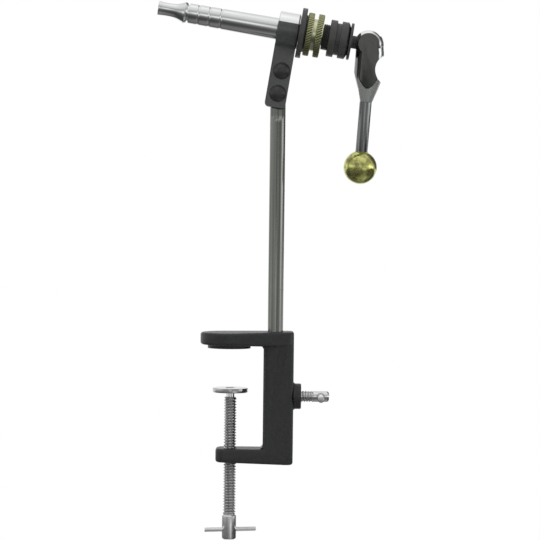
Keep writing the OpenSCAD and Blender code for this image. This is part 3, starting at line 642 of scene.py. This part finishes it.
def lever_steel():
    """Steel of the lever: dull dark flats, a ground taper, and round sides.

    The round sides are bright behind and dark in front, and a painted highlight makes them
    brightest above the pin.
    """
    look = bpy.context.scene.vise_lever
    colour, flat = tuple(look.steel), tuple(look.flat)
    f = Finish("Lever steel", colour, metallic=1.0, roughness=0.24)
    waves = f.noise(4.5, 2.0)
    fine = f.noise(0.6, 3.0, 0.6)
    drop = f.past(PIN, -LEVER.z)
    side = abs(f.along(Y)).between(6.6 * MM, 6.9 * MM)
    taper = drop.between(19.5 * MM, 22.5 * MM) * (1.0 - side)
    front = f.past(PIN, -X).between(1.0 * MM, 4.0 * MM) * drop.between(0.0, 3.0 * MM)
    # Painted highlight: the round top above the pin is made 1.6 times lighter.
    top = f.past(PIN, LEVER.z).between(0.5 * MM, 3.5 * MM)
    turned = f.mix(waves, shade(colour, 0.85), shade(colour, 1.15))
    turned = f.mix(top, f.mix(front, turned, shade(flat, 1.3)), shade(colour, 1.6))
    dark = f.mix(waves, shade(flat, 0.75), shade(flat, 1.25))
    bright = f.mix(taper, turned, tuple(look.taper))
    f.set("Base Color", f.mix(side, bright, dark))
    f.set("Metallic", 1.0 - taper * 0.55)
    f.set("Roughness", waves * 0.08 + fine * 0.1 + side * 0.14 + 0.1)
    f.bump(waves * 0.7 + fine * 0.3, 0.25, 0.06)
    return f.material


def plain_steel():
    """Plain steel of the inner pieces, with a light oil film."""
    colour = tuple(bpy.context.scene.vise_lever.inner)
    f = Finish("Plain steel", colour, metallic=1.0, roughness=0.3)
    cloud = f.noise(2.0, 3.0)
    f.set("Base Color", f.mix(cloud, shade(colour, 0.8), shade(colour, 1.1)))
    f.set("Roughness", cloud * 0.2 + 0.2)
    f.bump(cloud, 0.1, 0.02)
    return f.material


# Settings


def length(name, default, text, low=0.0, high=400.0):
    """A size in millimetres."""
    return FloatProperty(
        name=name, default=default, description=text, min=low, max=high, precision=2
    )


def share(name, default, text, high=1.0):
    """A number from 0 up."""
    return FloatProperty(name=name, default=default, description=text, min=0.0, max=high)


def colour(name, default, text):
    """A surface colour in linear light."""
    return FloatVectorProperty(
        name=name,
        default=default,
        description=text,
        subtype="COLOR",
        size=3,
        min=0.0,
        max=1.0,
    )


class ViseClampLooks(bpy.types.PropertyGroup):
    paint: colour("Paint", (0.017, 0.0175, 0.0178), "Colour of the clamp's black paint")
    gloss: share("Paint roughness", 0.42, "Roughness of the clamp's paint")
    zinc: colour("Zinc", (0.76, 0.765, 0.76), "Colour of the plated screws and pad")
    edge: length("Edge radius", 0.7, "How far the casting's sharp edges are softened")
    pitch: length("Clamp screw pitch", 1.75, "Pitch of the clamp screw", 0.5, 3.0)
    depth: length("Thread depth", 0.95, "Depth of the clamp screw's thread", 0.1, 1.2)
    lock_pitch: length("Stem screw pitch", 1.64, "Pitch of the stem screw", 0.5, 3.0)


class ViseStemLooks(bpy.types.PropertyGroup):
    steel: colour("Steel", (0.235, 0.245, 0.226), "Colour of the stem's ground steel")
    edge: length("Edge radius", 0.25, "How far the edges of the flats are softened")


class ViseHeadLooks(bpy.types.PropertyGroup):
    enamel: colour("Enamel", (0.036, 0.037, 0.037), "Colour of the strap's black enamel")
    oxide: colour("Oxide", (0.034, 0.034, 0.033), "Colour of the blackened pieces")
    chrome: colour("Chrome", (0.80, 0.81, 0.81), "Colour of the barrel and the jaws")
    brass: colour("Nut brass", (0.52, 0.54, 0.29), "Colour of the lock nut")
    # The colour of the highlight painted in the nut's groove.
    painted_groove_highlight: colour("Nut groove, painted highlight", (0.6, 0.61, 0.44), "Colour of the highlight painted in the nut's groove")
    # The colour of the highlight painted on the strap's top.
    painted_highlight: colour("Painted top highlight", (0.86, 0.875, 0.865), "Colour of the highlight painted on the strap's top")
    ball: colour("Ball brass", (0.60, 0.62, 0.20), "Colour of the lever's ball")
    knurls: IntProperty(
        name="Knurl grooves",
        description="Number of grooves round the lock nut, in each direction",
        default=50,
        min=12,
        max=120,
    )


class ViseLeverLooks(bpy.types.PropertyGroup):
    steel: colour("Steel", (0.55, 0.57, 0.55), "Colour of the lever's round top")
    flat: colour("Flats", (0.13, 0.13, 0.125), "Colour of the lever's dark flats")
    taper: colour("Taper", (0.27, 0.285, 0.27), "Colour of the lever's ground taper")
    rod: colour("Rod", (0.20, 0.21, 0.205), "Colour of the lever's rod")
    inner: colour("Inner steel", (0.46, 0.47, 0.47), "Colour of the pins and springs")
    edge: length("Edge radius", 0.45, "How far the lever's edges are softened")


class ViseStageLooks(bpy.types.PropertyGroup):
    distance: length("Camera distance", 1450.0, "Camera to vise", 300.0, 5000.0)
    height: length("Camera height", 91.5, "Camera above the clamping face", -500, 500)
    roll: FloatProperty(
        name="Camera roll",
        description="Turn of the camera about its own view",
        default=math.radians(0.65),
        subtype="ANGLE",
    )
    aim_x: length("Aim across", 23.7, "Where the camera looks, along X", -200, 200)
    aim_z: length("Aim up", 48.52, "Where the camera looks, along Z", -200, 300)
    view: length("View width", 333.99, "Width of the view at the vise", 50, 2000)
    floor: length("Floor", -195.0, "Height of the floor", -500, -120)
    ambient: share("Ambient light", 0.8, "Strength of the light from all round", 2.0)


# Operators


class VISE_OT_clamp_frame(bpy.types.Operator):
    """Make the cast clamp frame with softened edges"""

    bl_idname = "vise.clamp_frame"
    bl_label = "Clamp frame"

    def execute(self, context):
        look = context.scene.vise_clamp
        piece = copy_of("clamp_frame", "clamp_casting", 38.0, bevel=look.edge, segments=3)
        paint = finish(cast_paint)
        settle(piece, "clamp", paint, "clamp_black", "clamp_frame")
        return {"FINISHED"}


class VISE_OT_clamp_screw(bpy.types.Operator):
    """Make the clamp screw, its cross bar and its swivel pad"""

    bl_idname = "vise.clamp_screw"
    bl_label = "Clamp screw"

    def execute(self, context):
        look = context.scene.vise_clamp
        plate = finish(zinc, "Zinc plate, upright", Z)
        bottom, low, high, pad_low, pad_high = -118.6, -103.6, -30.3, -27.4, -24.7
        head_r, r, neck_r, spigot_r = 4.45, 4.0, 2.65, 1.9
        # The head, a relief, the thread, the neck and the spigot's flared end.
        screw = rounded(
            (0, bottom, 0),
            (head_r - 0.7, bottom, 0.3),
            (head_r, bottom + 0.7, 0.3),
            (head_r, low - 0.7, 0.3),
            (r - 0.1, low, 0.2),
            (r - 0.7, low + 0.05, 0.1),
            (r, low + 0.7, 0.1),
            (r, high - 0.7, 0.2),
            (r - 0.6, high, 0.2),
            (neck_r, high + 0.1, 0.1),
            (neck_r, pad_low - 0.45, 0.05),
            (spigot_r, pad_low - 0.45, 0),
            (spigot_r, pad_high - 1.05, 0),
            (spigot_r + 1.0, pad_high - 0.25, 0.1),
            (0, pad_high - 0.15, 0),
        )
        screw = refined(screw, low, high, look.pitch / 10)
        cut = thread(look.pitch, look.depth, low + 0.4, high - 0.2, 0.35)
        piece = lathe("clamp_screw_turned", UPRIGHT, screw, 96, cut, smooth=50.0)
        settle(piece, "screw", plate, "zinc", "clamp_screw")
        turn = math.radians(14.0)
        along = math.cos(turn) * X + math.sin(turn) * Y
        bar = Place((0, 0, -112.6 * MM), along, Z)
        piece = round_bar("clamp_screw_bar_turned", bar, -15.55, 16.95, 1.4, 0.35, 48)
        # Painted light: the level bar's zinc is made 1.2 times lighter than the screw's.
        plate = finish(zinc, "Zinc plate, level", X, by=1.2)
        settle(piece, "screw", plate, "zinc", "clamp_screw_bar")
        bore, r = spigot_r + 0.1, 11.0
        pad = loop(
            (bore, pad_low - 0.4, 0.05),
            (bore + 1.85, pad_low - 0.4, 0.3),
            (r - 2.0, pad_low, 0.5),
            (r - 0.3, pad_low, 0.2),
            (r, pad_low + 0.3, 0.2),
            (r, pad_high - 0.25, 0.15),
            (r - 0.25, pad_high, 0.15),
            (bore + 1.25, pad_high, 0.1),
            (bore, pad_high - 1.1, 0.05),
        )
        # Painted shade: the pad's zinc is made 0.7 times as light as the screw's.
        dull = finish(zinc, "Zinc plate, pad", Z, by=0.7)
        piece = lathe("clamp_pad_turned", UPRIGHT, pad, 96, closed=True)
        settle(piece, "pad", dull, "zinc", "clamp_pad")
        return {"FINISHED"}


class VISE_OT_stem_screw(bpy.types.Operator):
    """Make the screw that locks the stem, and its cross bar"""

    bl_idname = "vise.stem_screw"
    bl_label = "Stem screw"

    def execute(self, context):
        look = context.scene.vise_clamp
        plate = finish(zinc, "Zinc plate, stem screw", X, grime=0.25, hole=STEM_BAR)
        low, high, end, r, end_r = 32.3, 51.4, 61.1, 3.5, 3.4
        # The point, the thread and the plain end that the bar goes through.
        screw = rounded(
            (0, low - 0.025, 0),
            (r - 0.8, low - 0.025, 0.2),
            (r, low + 0.8, 0.2),
            (r, high - 0.1, 0.1),
            (end_r, high + 0.2, 0.1),
            (end_r, end - 1.2, 0.5),
            (end_r - 0.5, end - 0.4, 0.5),
            (end_r - 1.2, end, 0.5),
            (0, end, 0),
        )
        screw = refined(screw, low, high, look.lock_pitch / 10)
        cut = thread(look.lock_pitch, 0.55, low, high, 0.45)
        piece = lathe("stem_screw_turned", STEM_SCREW, screw, 96, cut, smooth=50.0)
        settle(piece, "stem_lock", plate, "zinc", "stem_screw")
        tilt = math.radians(2.0)
        bar = Place(STEM_BAR, math.cos(tilt) * Y + math.sin(tilt) * Z, X)
        piece = round_bar("stem_screw_bar_turned", bar, -17.0, 11.0, 2.0, 0.4, 64)
        plate = finish(zinc, "Zinc plate, across", Y)
        settle(piece, "stem_lock", plate, "zinc", "stem_screw_bar")
        return {"FINISHED"}


class VISE_OT_stem(bpy.types.Operator):
    """Make the stem with its bent and flattened top"""

    bl_idname = "vise.stem"
    bl_label = "Stem"

    def execute(self, context):
        look = context.scene.vise_stem
        piece = copy_of("stem", "stem_bar", 30.0, bevel=look.edge)
        steel = finish(drawn_steel, "Stem steel", tuple(look.steel))
        settle(piece, "post", steel, "stem_steel", "stem")
        return {"FINISHED"}


class VISE_OT_strap(bpy.types.Operator):
    """Make the black strap, its rivets and the bush inside it"""

    bl_idname = "vise.strap"
    bl_label = "Strap and rivets"

    def execute(self, context):
        enamel = finish(gloss_black)
        piece = copy_of("head_strap", "strap_formed", 32.0, bevel=0.35, segments=3)
        settle(piece, "post", enamel, "head_black", "head_strap")
        # A rivet along Y: two domes, each part of a ball of radius cap, and a shank.
        dome_r, dome_h, base, shank_r = 5.25, 3.0, 4.8, 2.5
        cap = (dome_r**2 + dome_h**2) / (2 * dome_h)
        lift = np.linspace(0.0, math.asin(dome_r / cap), 14)
        arc = np.stack([cap * np.sin(lift), base + dome_h - cap * (1 - np.cos(lift))], 1)
        shank = [[shank_r, -base], [shank_r, base]]
        profile = np.concatenate([arc * (1, -1), shank, arc[::-1]])
        black = finish(black_oxide, "Rivet black", by=0.6)
        for name, drop in (("upper", 25.3), ("lower", 39.3)):
            at = Place(HEAD.world(drop * X + 0.6 * Z), Y, Z)
            rivet = lathe(f"rivet_{name}", at, profile, 64)
            nodes = ("strap_rivets",) if name == "upper" else ()
            settle(rivet, "post", black, "knob_black", *nodes)
        half, flange, r, flange_r = 6.45, 0.5, 9.08, 10.25
        bush = loop(
            (TAIL_BORE, -half, 0.1),
            (r, -half, 0.2),
            (r, half, 0.05),
            (flange_r, half, 0.1),
            (flange_r, half + flange, 0.15),
            (TAIL_BORE, half + flange, 0.1),
        )
        piece = lathe("barrel_bush_turned", HEAD, bush, 96, closed=True)
        settle(piece, "post", enamel, "head_black", "barrel_bush")
        return {"FINISHED"}


class VISE_OT_barrel(bpy.types.Operator):
    """Make the chrome barrel and the threaded sleeve on its tail"""

    bl_idname = "vise.barrel"
    bl_label = "Barrel"

    def execute(self, context):
        front, back, tail = -61.9, -6.5, 34.1
        front_r, back_r, tail_r, wide_bore = 6.25, 6.75, 5.7, 4.65
        outside = [(5.6, front, 0.1), (front_r, front, 0.45)]
        for groove in (6.0, 12.9, 20.1):
            at = front + groove
            r = front_r + (back_r - front_r) * groove / (back - front)
            floor_r = r - 0.28
            outside += [
                (r, at - 0.75, 0.15),
                (floor_r, at - 0.3, 0.25),
                (floor_r, at + 0.3, 0.25),
                (r, at + 0.75, 0.15),
            ]
        shape = loop(
            *outside,
            (back_r, back, 0.2),
            (tail_r, back, 0.1),
            (tail_r, tail, 0.2),
            (ROD_BORE, tail, 0.2),
            (ROD_BORE, front + 43.0, 0.1),
            (wide_bore, front + 43.0, 0.1),
            (wide_bore, front + 3.81, 0.1),
        )
        piece = lathe("barrel_turned", HEAD, shape, 128, closed=True)
        bright = finish(chrome, "Chrome", dull=0.1)
        settle(piece, "head", bright, "chrome", "barrel")
        low, high, r, bore = 21.55, tail, 8.1, tail_r + 0.02
        sleeve = loop(
            (bore, low, 0.1),
            (r - 0.5, low, 0.1),
            (r, low + 0.5, 0.1),
            (r, high - 0.5, 0.1),
            (r - 0.5, high, 0.1),
            (bore, high, 0.1),
        )
        sleeve = refined(sleeve, low + 0.3, high - 0.3, 0.1)
        cut = outer_only(thread(1.0, 0.45, low + 0.4, high - 0.4), sleeve, 6.5)
        piece = lathe("sleeve_threaded", HEAD, sleeve, 96, cut, closed=True, smooth=50.0)
        black = finish(black_oxide)
        settle(piece, "head", black, "knob_black", "adjuster_sleeve")
        return {"FINISHED"}


class VISE_OT_lock(bpy.types.Operator):
    """Make the lock collar and the knurled brass nut"""

    bl_idname = "vise.lock"
    bl_label = "Lock collar and nut"

    def execute(self, context):
        front, back, end, r, boss_r = 7.0, 10.2, 11.1, 15.45, 11.5
        collar = loop(
            (TAIL_BORE, front, 0.1),
            (r, front, 0.5),
            (r, back, 0.5),
            (boss_r, back, 0.3),
            (boss_r, end, 0.2),
            (TAIL_BORE, end, 0.1),
        )
        piece = lathe("lock_collar_turned", HEAD, collar, 128, closed=True)
        black = finish(black_oxide)
        settle(piece, "collar", black, "knob_black", "lock_collar")
        start, end = NUT_MIDDLE - 5.0, NUT_MIDDLE + 5.0
        left, right = NUT_MIDDLE - 1.2, NUT_MIDDLE + 1.2
        floor_r, r = 10.0, 13.4
        nut = loop(
            (TAIL_BORE, start, 0.1),
            (r - 0.5, start, 0.1),
            (r, start + 0.45, 0.1),
            (r, left - 0.35, 0.1),
            (r - 0.35, left, 0.1),
            (floor_r, left, 0.2),
            (floor_r, right, 0.2),
            (r - 0.35, right, 0.1),
            (r, right + 0.35, 0.1),
            (r, end - 0.45, 0.1),
            (r - 0.5, end, 0.1),
            (TAIL_BORE, end, 0.1),
        )
        for low, high in ((start + 0.3, left - 0.1), (right + 0.1, end - 0.3)):
            nut = refined(nut, low, high, 0.14)
        grooves = context.scene.vise_head.knurls
        lead, depth = 1.5 * (2 * math.pi * r / grooves), 0.4
        bands = ((start + 0.2, left - 0.1), (right + 0.1, end - 0.2))
        cut = outer_only(knurl(grooves, lead, depth, bands), nut, r - 0.2)
        piece = lathe("lock_nut_knurled", HEAD, nut, 600, cut, closed=True, smooth=60.0)
        settle(piece, "nut", finish(knurled_brass), "brass", "lock_nut")
        return {"FINISHED"}


class VISE_OT_knob(bpy.types.Operator):
    """Make the adjusting knob and the thrust bush behind it"""

    bl_idname = "vise.knob"
    bl_label = "Adjusting knob"

    def execute(self, context):
        black = finish(black_oxide)
        start, end, flange = 25.5, 38.2, 4.2
        bore, small_bore, r, waist_r = 8.15, 5.05, 11.4, 9.85
        # Two flanges with a waist between, a cone behind, and a stepped bore.
        knob = loop(
            (bore, start, 0.2),
            (r, start, 0.35),
            (r, start + flange, 0.35),
            (waist_r, start + flange, 0.3),
            (waist_r, end - 1.5 - flange, 0.3),
            (r, end - 1.5 - flange, 0.35),
            (r, end - 1.5, 0.4),
            (bore + 0.35, end, 0.3),
            (small_bore, end, 0.1),
            (small_bore, end - 1.85, 0.1),
            (bore, end - 1.85, 0.1),
        )
        piece = lathe("adjusting_knob_turned", HEAD, knob, 128, closed=True)
        settle(piece, "knob", black, "knob_black", "adjusting_knob")
        start, front, back, end = 36.65, 38.25, 39.85, 43.35
        hub_r, r, nose_r = 5.0, 11.35, 3.95
        bush = loop(
            (ROD_BORE, start, 0.1),
            (hub_r, start, 0.2),
            (hub_r, front, 0.05),
            (r, front, 0.3),
            (r, back, 0.3),
            (nose_r, back, 0.25),
            (nose_r, end, 0.25),
            (ROD_BORE, end, 0.1),
        )
        piece = lathe("thrust_bush_turned", HEAD, bush, 96, closed=True)
        settle(piece, "bush", black, "knob_black", "thrust_bush")
        return {"FINISHED"}


class VISE_OT_jaws(bpy.types.Operator):
    """Make the two jaws"""

    bl_idname = "vise.jaws"
    bl_label = "Jaws"

    def execute(self, context):
        bright = finish(chrome, "Jaw chrome", dull=0.13)
        for side in ("near", "far"):
            piece = copy_of(
                f"{side}_jaw", f"jaw_{side}_half", 32.0, bevel=0.08, bevel_angle=50.0
            )
            settle(piece, f"jaw_{side}", bright, "jaw_chrome", f"{side}_jaw")
        return {"FINISHED"}


class VISE_OT_lever(bpy.types.Operator):
    """Make the cam lever, its rod and its brass ball"""

    bl_idname = "vise.lever"
    bl_label = "Cam lever"

    def execute(self, context):
        look = context.scene.vise_lever
        grey = finish(lever_steel)
        piece = copy_of(
            "cam_lever", "cam_lever_cast", 28.0, bevel=look.edge, segments=3, bevel_angle=40.0
        )
        settle(piece, "lever", grey, "lever_steel", "cam_lever")
        # The rod's shoulders rest on the ball and on the lever, and its thin ends go in.
        drop, ball_r, rod_r, end_r = 75.6, 10.25, 3.75, 2.5
        shoulder, joint = math.sqrt(ball_r**2 - rod_r**2) - drop, -35.2
        rod = rounded(
            (0, shoulder - 8.7, 0),
            (end_r, shoulder - 8.7, 0.2),
            (end_r, shoulder, 0),
            (rod_r, shoulder, 0.2),
            (rod_r, joint, 0.2),
            (end_r, joint, 0),
            (end_r, joint + 6.2, 0.2),
            (0, joint + 6.2, 0),
        )
        piece = lathe("lever_rod_turned", LEVER, rod, 64)
        drawn = finish(drawn_steel, "Rod steel", tuple(look.rod))
        settle(piece, "lever", drawn, "lever_steel", "lever_rod")
        seat_r, hole_r, bottom = 4.25, 2.52, shoulder - 9.0
        turn = np.linspace(math.pi, math.asin(seat_r / ball_r), 72)
        arc = np.stack([ball_r * np.sin(turn), ball_r * np.cos(turn) - drop], 1)
        hole = [[seat_r, shoulder], [hole_r, shoulder], [hole_r, bottom], [0, bottom]]
        ball = np.concatenate([arc, hole])
        piece = lathe("lever_ball_turned", LEVER, ball, 128)
        settle(piece, "lever", finish(ball_brass), "brass", "lever_ball")
        return {"FINISHED"}


class VISE_OT_inner(bpy.types.Operator):
    """Give the pins, the springs and the draw rod their steel"""

    bl_idname = "vise.inner"
    bl_label = "Inner pieces"

    def execute(self, context):
        steel = finish(plain_steel)
        rides = {
            "draw_rod": "drawbar",
            "jaw_pins": "drawbar",
            "return_spring": "drawbar",
            "jaw_spring": "drawbar",
            "guide_pin": "head",
            "lever_pin": "lever",
        }
        for node, body in rides.items():
            piece = copy_of(node, f"{node}_steel", 35.0)
            own = finish(lever_steel) if node == "lever_pin" else steel
            settle(piece, body, own, "inner_steel", node)
        return {"FINISHED"}


def stops(*rows):
    """Rows of (share of a direction, level) as stops of a ramp from 0 to 1."""
    return tuple(((sine + 1) / 2, level) for sine, level in rows)


# What polished metal sees in front of the vise, by height (1 is straight up).
STUDIO_LEVELS = stops(
    (-1.0, 0.24),
    (-0.95, 0.25),
    (-0.86, 0.15),
    (-0.72, 0.085),
    (-0.57, 0.088),
    (-0.40, 0.12),
    (-0.21, 0.22),
    (-0.12, 0.34),
    (-0.05, 0.62),
    (0.02, 0.95),
    (0.10, 1.10),
    (0.20, 0.98),
    (0.28, 0.60),
    (0.36, 0.42),
    (0.53, 0.55),
    (0.69, 0.72),
    (0.82, 0.82),
    (0.92, 0.88),
    (0.98, 1.00),
    (1.0, 1.15),
)
# By how much that changes from left to right, at eye level and then below it.
STUDIO_TURNS = stops(
    (-1.0, 1.05),
    (-0.9, 0.95),
    (-0.75, 0.6),
    (-0.5, 0.5),
    (-0.2, 0.6),
    (-0.05, 0.95),
    (0.05, 0.95),
    (0.25, 0.45),
    (0.6, 0.45),
    (0.8, 0.7),
    (0.92, 1.6),
    (1.0, 2.0),
)
LOW_TURNS = stops(
    (-1.0, 0.65),
    (-0.5, 0.6),
    (-0.2, 0.75),
    (0.0, 1.0),
    (0.2, 1.2),
    (0.45, 2.6),
    (0.65, 1.8),
    (0.8, 0.6),
    (1.0, 0.12),
)


class VISE_OT_stage(bpy.types.Operator):
    """Make the floor, the light and the camera"""

    bl_idname = "vise.stage"
    bl_label = "Stage"

    def execute(self, context):
        scene = context.scene
        look = scene.vise_stage
        scene.view_settings.view_transform = "Standard"
        self.floor(look)
        self.world(scene, look.ambient)
        self.lamps(scene)
        self.camera(scene, look)
        return {"FINISHED"}

    def floor(self, look):
        """A pale floor below the stem's lowest position, with a faint shadow.

        Nine tenths of what the camera sees of it near the vise is a white glow, and all
        of it far away. Metal sees through it in front and sees its glow behind.
        """
        half, z = 6.0, look.floor * MM
        corners = [(-half, -half, z), (half, -half, z), (half, half, z), (-half, half, z)]
        floor = make_mesh("floor", np.array(corners), [[0, 1, 2, 3]])
        f = Finish("Pale floor", (0.9, 0.9, 0.9), roughness=0.9)
        glow = f.plain("ShaderNodeEmission", {"Color": WHITE, "Strength": 1.0})
        share = f.vector("LENGTH", f.where, out="Value").between(0.2, 0.9) * 0.1 + 0.9
        lit = f.over(f.seen() * share, f.shader.outputs[0], glow)
        clear = f.plain("ShaderNodeBsdfTransparent", {"Color": WHITE})
        mirror = f.over(f.along(Y).between(0.35, 1.2), clear, glow)
        f.show(f.over(f.light_path("Is Glossy Ray"), lit, mirror))
        floor.data.materials.append(f.material)

    def world(self, scene, ambient):
        """White to the camera, even light on the vise, and a studio for reflections."""
        world = bpy.data.worlds.new("Studio")
        scene.world = world
        f = Nodes(world, "ShaderNodeOutputWorld", "Generated")
        even = f.ramp(f.along(Z) * 0.5 + 0.5, ((0.0, 0.5), (0.5, 0.7), (1.0, 1.0)))
        level = f.blend(f.light_path("Is Diffuse Ray"), self.studio(f), even * ambient)
        level = f.blend(f.seen(), level, 1.0)
        f.show(f.plain("ShaderNodeBackground", {"Color": WHITE, "Strength": level}))

    def studio(self, f):
        """How bright the studio is in each direction, as metal sees it.

        Behind the vise it is the white background, which the right side hides. In front
        it is dark at eye level and below, with a pale strip above and a pale ceiling,
        and it changes from left to right up to the pale ceiling.
        """
        sides, depth, height = f.along(X), f.along(Y), f.along(Z)
        across = sides * 0.5 + 0.5
        low, high = f.ramp(across, LOW_TURNS), f.ramp(across, STUDIO_TURNS)
        turns = f.blend(height.between(-0.1, -0.06), low, high)
        turns = f.blend(height.between(0.1, 0.6), turns, 1.0)
        right = sides.between(0.2, 0.4)
        dim = depth.between(0.1, 0.45) * right * (1.0 - height.between(0.8, 0.97)) * 0.85
        front = f.ramp(height * 0.5 + 0.5, STUDIO_LEVELS) * turns * (1.0 - dim)
        return f.blend(depth.between(0.6, 0.95) * (1.0 - right * 0.9), front, 0.97)

    def lamps(self, scene):
        """Three soft lamps: place and size in metres, and watts. Metal doesn't see them."""
        aim = Vector((0.02, 0.0, 0.08))
        rows = (
            ("Key", (-0.5, -0.75, 1.15), 0.9, 9.0),
            ("Fill", (1.1, -0.9, 0.5), 0.7, 3.5),
            ("Back", (0.1, 1.2, 0.7), 1.2, 7.0),
        )
        for name, where, size, power in rows:
            data = bpy.data.lights.new(name, "AREA")
            data.shape, data.size, data.energy = "DISK", size, power
            lamp = bpy.data.objects.new(name, data)
            lamp.location = where
            way = aim - Vector(where)
            lamp.rotation_euler = way.to_track_quat("-Z", "Y").to_euler()
            lamp.visible_glossy = False
            scene.collection.objects.link(lamp)

    def camera(self, scene, look):
        """The photograph's view: rolled a little and looking slightly down."""
        centre = Vector((look.aim_x * MM, 0.0, look.aim_z * MM))
        eye = Vector((centre.x, -look.distance * MM, look.height * MM))
        forward = (centre - eye).normalized()
        right = forward.cross(Vector((0, 0, 1))).normalized()
        up = right.cross(forward)
        c, s = math.cos(look.roll), math.sin(look.roll)
        right, up = right * c + up * s, up * c - right * s
        data = bpy.data.cameras.new("Camera")
        data.lens = data.sensor_width * (centre - eye).length / (look.view * MM)
        data.clip_start, data.clip_end = 0.05, 50.0
        camera = bpy.data.objects.new("Camera", data)
        turn = Matrix((right, up, -forward)).transposed().to_4x4()
        camera.matrix_world = Matrix.Translation(eye) @ turn
        scene.collection.objects.link(camera)
        scene.camera = camera


# Panel and registration


STEPS = (
    VISE_OT_stage,
    VISE_OT_clamp_frame,
    VISE_OT_clamp_screw,
    VISE_OT_stem_screw,
    VISE_OT_stem,
    VISE_OT_strap,
    VISE_OT_barrel,
    VISE_OT_lock,
    VISE_OT_knob,
    VISE_OT_jaws,
    VISE_OT_lever,
    VISE_OT_inner,
)
LOOKS = {
    "vise_clamp": ViseClampLooks,
    "vise_stem": ViseStemLooks,
    "vise_head": ViseHeadLooks,
    "vise_lever": ViseLeverLooks,
    "vise_stage": ViseStageLooks,
}


class VISE_PT_panel(bpy.types.Panel):
    """Lists the steps and their sizes and colours"""

    bl_label = "Fly Tying Vise"
    bl_idname = "VISE_PT_panel"
    bl_space_type = "VIEW_3D"
    bl_region_type = "UI"
    bl_category = "Vise"

    def draw(self, context):
        for step in STEPS:
            self.layout.operator(step.bl_idname)
        for name, group in LOOKS.items():
            box = self.layout.box()
            for key in group.__annotations__:
                box.prop(getattr(context.scene, name), key)


CLASSES = (*LOOKS.values(), *STEPS, VISE_PT_panel)


def register():
    for cls in CLASSES:
        bpy.utils.register_class(cls)
    for name, group in LOOKS.items():
        setattr(bpy.types.Scene, name, PointerProperty(type=group))


def unregister():
    for name in LOOKS:
        delattr(bpy.types.Scene, name)
    for cls in reversed(CLASSES):
        bpy.utils.unregister_class(cls)


def main():
    """Builds the whole vise."""
    register()
    for step in STEPS:
        group, action = step.bl_idname.split(".")
        getattr(getattr(bpy.ops, group), action)()


if __name__ == "__main__":
    main()
